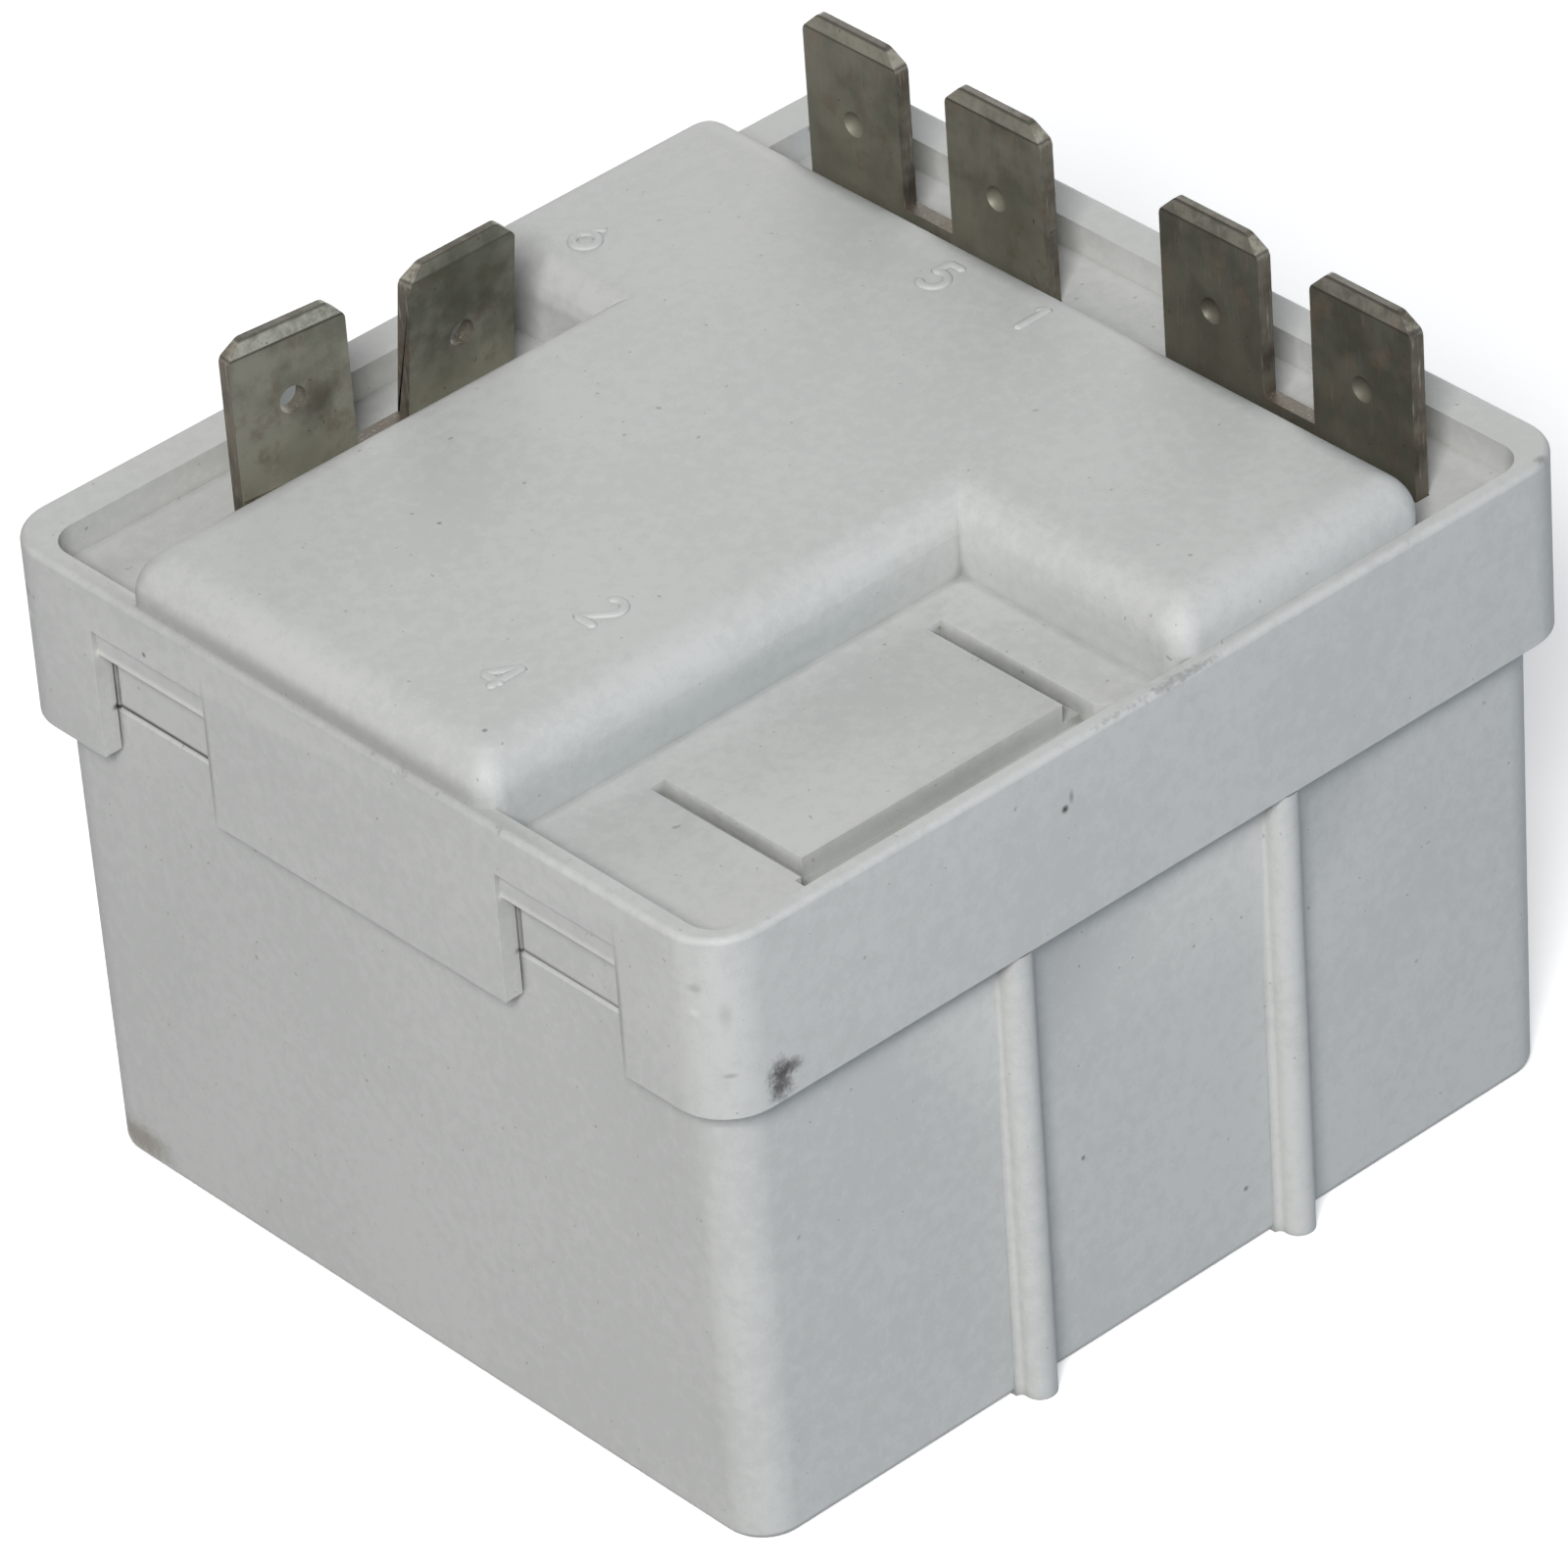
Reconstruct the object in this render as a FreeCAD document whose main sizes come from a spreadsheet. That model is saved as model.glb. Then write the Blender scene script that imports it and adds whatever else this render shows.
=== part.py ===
import FreeCAD, Part

import math
import os
import re

import Sketcher

# A plug-in starting relay: a moulded case, a clip-on lid with a raised rib of three pairs of
# blade terminals, and inside it a coil whose armature opens one normally closed contact.
# Millimetres. X runs along the ribbed side, Y along the latched side, Z is up.
# The origin is the middle of the underside.

Vector = FreeCAD.Vector

# How far an edge's middle, in millimetres, or its unit direction may be off and still be picked.
TOLERANCE = 0.01

SIZES = {
    # lid, seen from above
    "lid_length": 52.4,
    "lid_width": 47.8,
    "lid_corner_radius": 2.8,
    "lid_edge_radius": 0.35,
    "skirt_bottom": 24.6,
    "skirt_wall": 1.0,
    "lid_top": 34.1,
    "lid_floor": 1.6,
    "rim_depth": 1.7,
    "rim_left": 1.0,
    "rim_right": 2.2,
    "rim_front": 0.8,
    "rim_back": 2.3,
    "rim_inner_radius": 1.6,
    # raised plateau on the lid, placed from the lid's outer faces
    "plateau_rise": 4.25,
    "plateau_edge_radius": 2.1,
    "plateau_corner_radius": 1.3,
    "plateau_wall": 1.6,
    "plateau_left": 0.35,
    "plateau_front": 0.67,
    "pocket_length": 28.4,
    "pocket_width": 14.7,
    "rear_strip": 8.75,
    "side_strip": 8.7,
    # tongue moulded in the pocket floor, with a channel on each side and a groove in front
    "tongue_left": 9.0,
    "tongue_length": 15.5,
    "tongue_back": 12.9,
    "tongue_front": 4.2,
    "channel_width": 0.95,
    "channel_depth": 1.0,
    "groove_width": 1.9,
    "groove_depth": 1.4,
    "groove_neck": 1.0,
    "groove_overhang": 0.35,
    # latches on both short sides
    "latch_width": 7.7,
    "latch_spacing": 27.3,
    "latch_head": 2.6,
    "latch_web": 1.5,
    "ledge_height": 1.4,
    "ledge_recess": 0.3,
    "sill_depth": 4.1,
    "sill_bevel": 0.15,
    "latch_clearance": 0.25,
    # case
    "case_inset_top": 1.1,
    "case_inset_bottom": 1.33,
    "case_corner_radius": 2.2,
    "case_wall": 1.8,
    "case_floor": 2.0,
    "case_base_radius": 0.5,
    "rib_radius": 0.8,
    "rib_blend": 0.3,
    "rib_spacing": 16.3,
    "rib_shift": 0.25,
    "rib_top_gap": 0.1,
    # blade terminals
    "tab_width": 6.35,
    "tab_thickness": 0.8,
    "tab_gap": 3.27,
    "tab_length": 8.26,
    "tab_corner": 0.9,
    "tab_bevel_height": 0.75,
    "tab_tip": 0.35,
    "bar_drop": 0.36,
    "tab_hole_radius": 0.7,
    "dimple_radius": 0.8,
    "dimple_depth": 0.35,
    "hole_drop": 5.0,
    "raised_hole_drop": 4.1,
    "slot_clearance": 0.05,
    "side_pair_inset": 6.3,
    "rear_pair_inset": 6.65,
    "front_pair_shift": 12.03,
    "back_pair_shift": 11.7,
    "rear_pair_place": 17.3,
    "leg_width": 3.9,
    "bent_tab_angle": 7.0,
    "twisted_tab_angle": 6.0,
    "rear_foot_reach": 5.0,
    "side_foot_reach": 4.4,
    "rear_foot_shift": 3.6,
    "contact_foot_shift": 6.0,
    # magnet frame and coil
    "frame_gap": 3.3,
    "frame_end_gap": 4.3,
    "sheet_thickness": 1.5,
    "frame_width": 23.4,
    "back_plate_width": 16.0,
    "back_plate_top": 18.0,
    "coil_height": 12.6,
    "core_radius": 3.5,
    "core_shank_radius": 2.5,
    "core_head": 0.8,
    "core_clearance": 0.05,
    "pole_radius": 4.2,
    "pole_thickness": 1.2,
    "armature_room": 10.8,
    "bobbin_wall": 0.8,
    "flange_radius": 8.0,
    "flange_thickness": 1.2,
    "winding_depth": 3.0,
    "tape_thickness": 0.2,
    "pin_block_width": 2.4,
    "pin_block_shift": 4.5,
    "pin_radius": 0.4,
    "pin_depth": 1.6,
    "pin_rise": 1.8,
    # armature on its hinge
    "pole_gap": 0.6,
    "pad_thickness": 0.1,
    "pad_radius": 3.0,
    "armature_thickness": 1.4,
    "armature_width": 16.0,
    "armature_top": 18.0,
    "arm_width": 4.0,
    "arm_drop": 4.0,
    "pivot_height": 5.0,
    "knuckle_radius": 1.3,
    "hinge_radius": 0.7,
    "hinge_clearance": 0.05,
    "ear_clearance": 0.3,
    "ear_radius": 2.0,
    "hinge_overhang": 0.5,
    "tail_length": 6.3,
    "tail_width": 7.0,
    # return spring between the tail and a bracket bent up from the frame
    "spring_reach": 4.2,
    "spring_radius": 1.6,
    "spring_wire": 0.5,
    "spring_turns": 5.0,
    "spring_nub_radius": 1.1,
    "spring_nub_height": 0.7,
    "bracket_gap": 0.5,
    "bracket_height": 12.0,
    "bracket_width": 8.0,
    "stop_width": 4.0,
    "stop_length": 1.0,
    # contacts
    "blade_thickness": 0.25,
    "blade_width": 3.4,
    "blade_start": 1.2,
    "blade_end": 1.7,
    "contact_drop": 4.5,
    "contact_radius": 1.5,
    "contact_thickness": 0.6,
    "contact_shank": 0.6,
    "contact_tail": 0.4,
    "flag_margin": 2.5,
    "rivet_radius": 0.5,
    "rivet_head_radius": 0.9,
    "rivet_head": 0.4,
    "rivet_edge": 0.9,
    "rivet_spacing": 1.9,
    "rivet_clearance": 0.05,
    # screws that hold the frame to the case floor
    "screw_radius": 0.9,
    "screw_head_radius": 1.7,
    "screw_head": 1.0,
    "screw_depth": 1.4,
    "screw_edge": 1.9,
    "screw_reach": 14.0,
    "screw_socket": 0.45,
    # wires
    "wire_radius": 0.4,
    "wire_bend": 2.4,
    "lead_level": 26.0,
    "link_level": 20.0,
}

# Places worked out from the sizes above.
LEFT = "(-lid_length / 2)"
RIGHT = "(lid_length / 2)"
FRONT = "(-lid_width / 2)"
BACK = "(lid_width / 2)"
RIB_CROWN = f"({FRONT} + rib_radius)"
RIB_WALL = f"({FRONT} + (case_inset_top + case_inset_bottom) / 2)"
RIB_ROOT = f"({RIB_WALL} + case_wall / 2)"
FLOOR_TOP = "(lid_top - rim_depth)"
FLOOR_BOTTOM = "(lid_top - rim_depth - lid_floor)"
PLATEAU_TOP = f"({FLOOR_TOP} + plateau_rise)"
FOOT_BOTTOM = f"({FLOOR_BOTTOM} - tab_thickness)"
BAR_TOP = "(lid_top - bar_drop)"
TAB_TOP = f"({BAR_TOP} + tab_length)"
HOLE_HEIGHT = f"({TAB_TOP} - hole_drop)"
RAISED_HOLE_HEIGHT = f"({TAB_TOP} - raised_hole_drop)"
SILL = f"({FLOOR_BOTTOM} - sill_depth)"
CONTACT_HEIGHT = f"({FOOT_BOTTOM} - contact_drop)"
ARM_TOP = f"({CONTACT_HEIGHT} - arm_drop)"
RIVET_HIGH = f"({ARM_TOP} - rivet_edge)"
RIVET_LOW = f"({RIVET_HIGH} - rivet_spacing)"
LATCH_TOP = "(lid_top - latch_head)"
TONGUE_LEFT = f"({LEFT} + tongue_left)"
TONGUE_RIGHT = f"({TONGUE_LEFT} + tongue_length)"
TONGUE_FRONT = f"({FRONT} + tongue_front)"
SIDE_PLANE = f"({RIGHT} - side_pair_inset)"
REAR_PLANE = f"({BACK} - rear_pair_inset)"
REAR_PAIR = f"({LEFT} + rear_pair_place)"
FRAME_LEFT = f"({LEFT} + case_inset_top + case_wall + frame_gap)"
FRAME_RIGHT = f"({RIGHT} - case_inset_top - case_wall - frame_end_gap)"
FRAME_TOP = "(case_floor + sheet_thickness)"
BOBBIN_LEFT = f"({FRAME_LEFT} + sheet_thickness)"
BOBBIN_RIGHT = f"({FRAME_RIGHT} - armature_room)"
POLE_FACE = f"({BOBBIN_RIGHT} + pole_thickness)"
ARMATURE_LEFT = f"({POLE_FACE} + pole_gap)"
ARMATURE_RIGHT = f"({ARMATURE_LEFT} + armature_thickness)"
PIVOT = f"({ARMATURE_LEFT} + armature_thickness / 2)"
TAIL_TOP = "(pivot_height + armature_thickness / 2)"
TAIL_BOTTOM = "(pivot_height - armature_thickness / 2)"
TAIL_END = f"({PIVOT} + tail_length)"
SPRING_PLACE = f"({PIVOT} + spring_reach)"
BRACKET_LEFT = f"({TAIL_END} + bracket_gap)"
BLADE_RIGHT = f"({ARMATURE_RIGHT} + blade_thickness)"
FLAG_LEFT = f"({BLADE_RIGHT} + 2 * contact_thickness)"
CONTACT_PLACE = "(contact_foot_shift - front_pair_shift)"
EAR_INSIDE = "(armature_width / 2 + ear_clearance)"
PIN_TOP = "(coil_height + flange_radius + pin_rise)"

doc = FreeCAD.newDocument("Relay")
sheet = doc.addObject("Spreadsheet::Sheet", "Sizes")
for row, (alias, number) in enumerate(SIZES.items(), start=1):
    sheet.set(f"A{row}", alias)
    sheet.set(f"B{row}", str(number))
    sheet.setAlias(f"B{row}", alias)
doc.recompute()

SUB_PARTS = []


def bound(text):
    """Writes each size that the text names as a reference to its cell."""
    return re.sub("[a-z_]+", lambda word: "Sizes." * (word.group() in SIZES) + word.group(), text)


def value(text):
    """Works out a bound text as a number."""
    return float(sheet.evalExpression(bound(text)))


def tie(item, **texts):
    """Binds the item's properties to the sizes that their texts name."""
    for name, text in texts.items():
        item.setExpression(name, bound(text))


def place(item, x="0", y="0", z="0"):
    """Binds the item's position."""
    for axis, text in (("x", x), ("y", y), ("z", z)):
        item.setExpression(f"Placement.Base.{axis}", bound(text))


def finish(item, label):
    """Names a finished sub-part and lists it for its file."""
    item.Label = label
    SUB_PARTS.append(item)
    return item


def new_body(name):
    return doc.addObject("PartDesign::Body", name)


def sketch_on(body, plane, level="0"):
    """Adds a sketch on the body's own plane XY, XZ or YZ, at that height along the third axis."""
    support = next(item for item in body.Origin.OriginFeatures if item.Role == plane + "_Plane")
    sketch = body.newObject("Sketcher::SketchObject", body.Name + "Sketch")
    sketch.AttachmentSupport = [(support, "")]
    sketch.MapMode = "FlatFace"
    # The XZ plane looks along -Y, so its height counts backwards.
    sign = "-" if plane == "XZ" else ""
    sketch.setExpression("AttachmentOffset.Base.z", bound(sign + "(" + level + ")"))
    return sketch


def tie_constraint(sketch, text, kind, *places):
    """Adds a measuring constraint bound to the sizes."""
    index = sketch.addConstraint(Sketcher.Constraint(kind, *places, value(text)))
    sketch.setExpression(f"Constraints[{index}]", bound(text))


def fix_point(sketch, curve, end, x, y):
    """Ties one point of a curve to the sketch's origin."""
    for kind, text in (("DistanceX", x), ("DistanceY", y)):
        tie_constraint(sketch, text, kind, -1, 1, curve, end)


def draw_outline(sketch, corners):
    """Draws a closed outline of straight edges through its corners."""
    points = [Vector(value(x), value(y), 0) for x, y in corners]
    first = sketch.GeometryCount
    total = len(points)
    for number, point in enumerate(points):
        sketch.addGeometry(Part.LineSegment(point, points[(number + 1) % total]), False)
    for number in range(total):
        following = first + (number + 1) % total
        sketch.addConstraint(Sketcher.Constraint("Coincident", first + number, 2, following, 1))
    for number, (x, y) in enumerate(corners):
        fix_point(sketch, first + number, 1, x, y)


def draw_rectangle(sketch, left, right, low, high):
    draw_outline(sketch, [(left, low), (right, low), (right, high), (left, high)])


def draw_rounded_rectangle(sketch, left, right, low, high, radius):
    """Draws four sides joined by quarter circles, tied at the sides and by one radius."""
    start_x, end_x, start_y, end_y, bend = (value(text) for text in (left, right, low, high, radius))
    near_x, far_x, near_y, far_y = start_x + bend, end_x - bend, start_y + bend, end_y - bend
    sides = [
        ((near_x, start_y), (far_x, start_y)), ((end_x, near_y), (end_x, far_y)),
        ((far_x, end_y), (near_x, end_y)), ((start_x, far_y), (start_x, near_y)),
    ]
    centres = [(far_x, near_y), (far_x, far_y), (near_x, far_y), (near_x, near_y)]
    first = sketch.GeometryCount
    for number, (ends, centre) in enumerate(zip(sides, centres)):
        sketch.addGeometry(Part.LineSegment(*(Vector(*end, 0) for end in ends)), False)
        circle = Part.Circle(Vector(*centre, 0), Vector(0, 0, 1), bend)
        begin = (number - 1) * math.pi / 2
        sketch.addGeometry(Part.ArcOfCircle(circle, begin, begin + math.pi / 2), False)
    for number, direction in enumerate(("Horizontal", "Vertical", "Horizontal", "Vertical")):
        side = first + 2 * number
        arc = side + 1
        following = first + 2 * ((number + 1) % len(sides))
        sketch.addConstraint(Sketcher.Constraint(direction, side))
        sketch.addConstraint(Sketcher.Constraint("Tangent", side, 2, arc, 1))
        sketch.addConstraint(Sketcher.Constraint("Tangent", arc, 2, following, 1))
        if number:
            sketch.addConstraint(Sketcher.Constraint("Equal", first + 1, arc))
    tie_constraint(sketch, radius, "Radius", first + 1)
    for kind, side, text in (
        ("DistanceX", 6, left), ("DistanceX", 2, right), ("DistanceY", 0, low), ("DistanceY", 4, high),
    ):
        tie_constraint(sketch, text, kind, -1, 1, first + side, 1)


def draw_lid_outline(sketch, inset, radius):
    """The lid's rounded outline, drawn in from its outer faces."""
    draw_rounded_rectangle(
        sketch, f"{LEFT} + {inset}", f"{RIGHT} - {inset}", f"{FRONT} + {inset}", f"{BACK} - {inset}", radius,
    )


def draw_circle(sketch, x, y, radius):
    circle = Part.Circle(Vector(value(x), value(y), 0), Vector(0, 0, 1), value(radius))
    curve = sketch.addGeometry(circle, False)
    fix_point(sketch, curve, 3, x, y)
    tie_constraint(sketch, radius, "Radius", curve)


def draw_rib(sketch, x):
    """A half-round rib's section on the front wall, run into the wall by a hollow arc on each side."""
    radius = value("rib_radius")
    blend = value("rib_blend")
    middle = value(x)
    crown = value(RIB_CROWN)
    hollow = value(f"{RIB_WALL} - rib_blend")
    reach = math.sqrt((radius + blend) ** 2 - (crown - hollow) ** 2)
    lean = math.atan2(crown - hollow, reach)
    wall = value(RIB_WALL)
    root = value(RIB_ROOT)
    left, round_face, right = range(sketch.GeometryCount, sketch.GeometryCount + 3)
    for centre, size, start, end in (
        ((middle - reach, hollow), blend, lean, math.pi / 2),
        ((middle, crown), radius, math.pi + lean, math.tau - lean),
        ((middle + reach, hollow), blend, math.pi / 2, math.pi - lean),
    ):
        circle = Part.Circle(Vector(*centre, 0), Vector(0, 0, 1), size)
        sketch.addGeometry(Part.ArcOfCircle(circle, start, end), False)
    corners = [(middle - reach, wall), (middle - reach, root), (middle + reach, root), (middle + reach, wall)]
    for start, end in zip(corners, corners[1:]):
        sketch.addGeometry(Part.LineSegment(Vector(*start, 0), Vector(*end, 0)), False)
    near_side, back, far_side = range(right + 1, right + 4)
    for kind, *places in (
        ("Tangent", left, 1, round_face, 1), ("Tangent", round_face, 2, right, 2),
        ("Perpendicular", left, 2, near_side, 1), ("Perpendicular", right, 1, far_side, 2),
        ("Coincident", near_side, 2, back, 1), ("Coincident", back, 2, far_side, 1),
        ("Vertical", near_side), ("Vertical", far_side), ("Horizontal", back),
    ):
        sketch.addConstraint(Sketcher.Constraint(kind, *places))
    fix_point(sketch, round_face, 3, x, RIB_CROWN)
    for text, kind, *places in (
        ("rib_radius", "Radius", round_face), ("rib_blend", "Radius", left), ("rib_blend", "Radius", right),
        (RIB_WALL, "DistanceY", -1, 1, left, 2), (RIB_WALL, "DistanceY", -1, 1, right, 1),
        (RIB_ROOT, "DistanceY", -1, 1, back, 1),
    ):
        tie_constraint(sketch, text, kind, *places)


def pad(body, sketch, length):
    """Thickens a sketch: XY towards +Z, YZ towards +X and XZ towards -Y."""
    feature = body.newObject("PartDesign::Pad", body.Name + "Pad")
    feature.Profile = sketch
    tie(feature, Length=length)
    sketch.Visibility = False
    return feature


def pocket(body, sketch, length=None):
    """Cuts a sketch down against its pad direction, or through everything."""
    feature = body.newObject("PartDesign::Pocket", body.Name + "Pocket")
    feature.Profile = sketch
    if length is None:
        feature.Type = "ThroughAll"
    else:
        tie(feature, Length=length)
    return feature


def spin(body, sketch, axis):
    """Turns a sketch a full turn about its own H_Axis or V_Axis."""
    feature = body.newObject("PartDesign::Revolution", body.Name + "Turned")
    feature.Profile = sketch
    feature.ReferenceAxis = (sketch, [axis])
    feature.Angle = 360
    return feature


def edges_where(feature, test):
    """Names the edges of the feature's shape whose middle and direction pass the test."""
    doc.recompute()
    names = []
    for number, edge in enumerate(feature.Shape.Edges, start=1):
        middle = edge.valueAt((edge.FirstParameter + edge.LastParameter) / 2)
        direction = edge.tangentAt((edge.FirstParameter + edge.LastParameter) / 2)
        if test(middle, direction):
            names.append(f"Edge{number}")
    return names


def soften(body, kind, base, size, test):
    """Adds a Fillet or Chamfer to the edges that pass the test."""
    names = edges_where(base, test)
    feature = body.newObject("PartDesign::" + kind, body.Name + kind)
    feature.Base = (base, names)
    tie(feature, **{"Radius" if kind == "Fillet" else "Size": size})
    return feature


def is_upright(middle, direction):
    return abs(direction.z) > 1 - TOLERANCE


def at_height(level):
    """Picks the edges whose middle is at one height."""
    return lambda middle, direction: abs(middle.z - level) < TOLERANCE


def block(name, left, right, front, back, bottom, top):
    """A box between six places."""
    box = doc.addObject("Part::Box", name)
    tie(box, Length=f"({right}) - ({left})", Width=f"({back}) - ({front})", Height=f"({top}) - ({bottom})")
    place(box, left, front, bottom)
    return box


def rod(name, radius, length, x, y, z, axis=Vector(0, 0, 1)):
    """A cylinder from its first end along X, Y or Z."""
    cylinder = doc.addObject("Part::Cylinder", name)
    tie(cylinder, Radius=radius, Height=length)
    cylinder.Placement.Rotation = FreeCAD.Rotation(Vector(0, 0, 1), axis)
    place(cylinder, x, y, z)
    return cylinder


def fuse(name, items):
    joined = doc.addObject("Part::MultiFuse", name)
    joined.Shapes = items
    joined.Refine = True
    return joined


def cut(name, base, tools):
    """Takes one tool or several from the base."""
    result = doc.addObject("Part::Cut", name)
    result.Base = base
    result.Tool = tools[0] if len(tools) == 1 else fuse(name + "Tools", tools)
    result.Refine = True
    return result


def group(name, items):
    """Several loose solids of one kind as one sub-part."""
    compound = doc.addObject("Part::Compound", name)
    compound.Links = items
    return compound


def latch_centres():
    """The two latches of a side, measured along Y."""
    return ("-latch_spacing / 2", "latch_spacing / 2")


def make_case():
    """Drafted cup with two half-round ribs and latch notches in both short walls."""
    body = new_body("Case")
    foot = sketch_on(body, "XY")
    draw_lid_outline(foot, "case_inset_bottom", "case_corner_radius")
    shell = pad(body, foot, FLOOR_BOTTOM)
    tie(shell, TaperAngle=f"atan((case_inset_bottom - case_inset_top) / {FLOOR_BOTTOM})")
    soften(body, "Fillet", shell, "case_base_radius", at_height(0))

    ribs = sketch_on(body, "XY")
    for side in ("-", "+"):
        draw_rib(ribs, f"-rib_shift {side} rib_spacing / 2")
    pad(body, ribs, "skirt_bottom - rib_top_gap")
    hollow = sketch_on(body, "XY", FLOOR_BOTTOM)
    draw_lid_outline(hollow, "(case_inset_top + case_wall)", "case_corner_radius - case_inset_top")
    pocket(body, hollow, f"{FLOOR_BOTTOM} - case_floor")

    notches = sketch_on(body, "YZ", RIGHT)
    for centre in latch_centres():
        draw_rectangle(
            notches, f"{centre} - latch_width / 2", f"{centre} + latch_width / 2", SILL, "lid_top",
        )
    notched = pocket(body, notches)
    sill = value(SILL)
    outside = value(f"{RIGHT} - case_inset_top - case_wall / 2")
    soften(
        body, "Chamfer", notched, "sill_bevel",
        lambda middle, direction: abs(middle.z - sill) < TOLERANCE
        and abs(direction.y) > 1 - TOLERANCE and abs(middle.x) > outside,
    )

    holes = sketch_on(body, "XY", "case_floor")
    for side in ("-", "+"):
        across = f"{side}(frame_width / 2 - screw_edge)"
        draw_circle(holes, f"{FRAME_LEFT} + screw_reach", across, "screw_radius")
    pocket(body, holes, "screw_depth")
    return finish(body, "case")


def plateau_corners(inset):
    """The raised rib's outline, drawn in from its faces: one arm to the left, one across the lid."""
    near = f"{FRONT} + plateau_front + {inset}"
    left = f"{LEFT} + plateau_left + {inset}"
    step = f"{LEFT} + pocket_length + {inset}"
    right = f"{RIGHT} - side_strip - {inset}"
    arm_front = f"{FRONT} + pocket_width + {inset}"
    arm_back = f"{BACK} - rear_strip - {inset}"
    far = f"{BACK} - {inset}"
    return [
        (left, arm_front), (step, arm_front), (step, near), (right, near),
        (right, far), (step, far), (step, arm_back), (left, arm_back),
    ]


def make_plateau():
    body = new_body("Plateau")
    sketch = sketch_on(body, "XY", f"{FLOOR_TOP} - lid_floor / 2")
    draw_outline(sketch, plateau_corners("0"))
    raised = pad(body, sketch, "plateau_rise + lid_floor / 2")
    step = value(f"{LEFT} + pocket_length")
    inside = value("lid_width / 2 - plateau_front") - 1

    def is_outer_corner(middle, direction):
        """The two corners where the arm meets the cross piece stay sharp."""
        inner = abs(middle.x - step) < TOLERANCE and abs(middle.y) < inside
        return is_upright(middle, direction) and not inner

    rounded = soften(body, "Fillet", raised, "plateau_corner_radius", is_outer_corner)
    soften(body, "Fillet", rounded, "plateau_edge_radius", at_height(value(PLATEAU_TOP)))
    return body


def make_lid_tray():
    """Skirt, floor and rim, open below for the case and sunk above for the terminals."""
    body = new_body("LidTray")
    outer = sketch_on(body, "XY", "skirt_bottom")
    draw_lid_outline(outer, "0", "lid_corner_radius")
    solid = pad(body, outer, "lid_top - skirt_bottom")
    soften(body, "Fillet", solid, "lid_edge_radius", at_height(value("lid_top")))
    sunk = sketch_on(body, "XY", "lid_top")
    draw_rounded_rectangle(
        sunk, f"{LEFT} + rim_left", f"{RIGHT} - rim_right", f"{FRONT} + rim_front", f"{BACK} - rim_back",
        "rim_inner_radius",
    )
    pocket(body, sunk, "rim_depth")
    below = sketch_on(body, "XY", FLOOR_BOTTOM)
    draw_lid_outline(below, "skirt_wall", "lid_corner_radius - skirt_wall")
    pocket(body, below, f"{FLOOR_BOTTOM} - skirt_bottom")
    return body


def make_groove():
    """The tongue's front drop: as wide as both channels, then wider in front, with one slanted end."""
    body = new_body("FrontGroove")
    sketch = sketch_on(body, "XY", f"{FLOOR_TOP} - groove_depth")
    left = f"{TONGUE_LEFT} - channel_width"
    right = f"{TONGUE_RIGHT} + channel_width"
    neck = f"{TONGUE_FRONT} - groove_neck"
    near = f"{TONGUE_FRONT} - groove_width"
    draw_outline(sketch, [
        (f"{left} - groove_overhang", near), (f"{right} + groove_width - groove_neck", near), (right, neck),
        (right, TONGUE_FRONT), (left, TONGUE_FRONT), (left, neck), (f"{left} - groove_overhang", neck),
    ])
    pad(body, sketch, "rim_depth + groove_depth")
    return body


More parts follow.
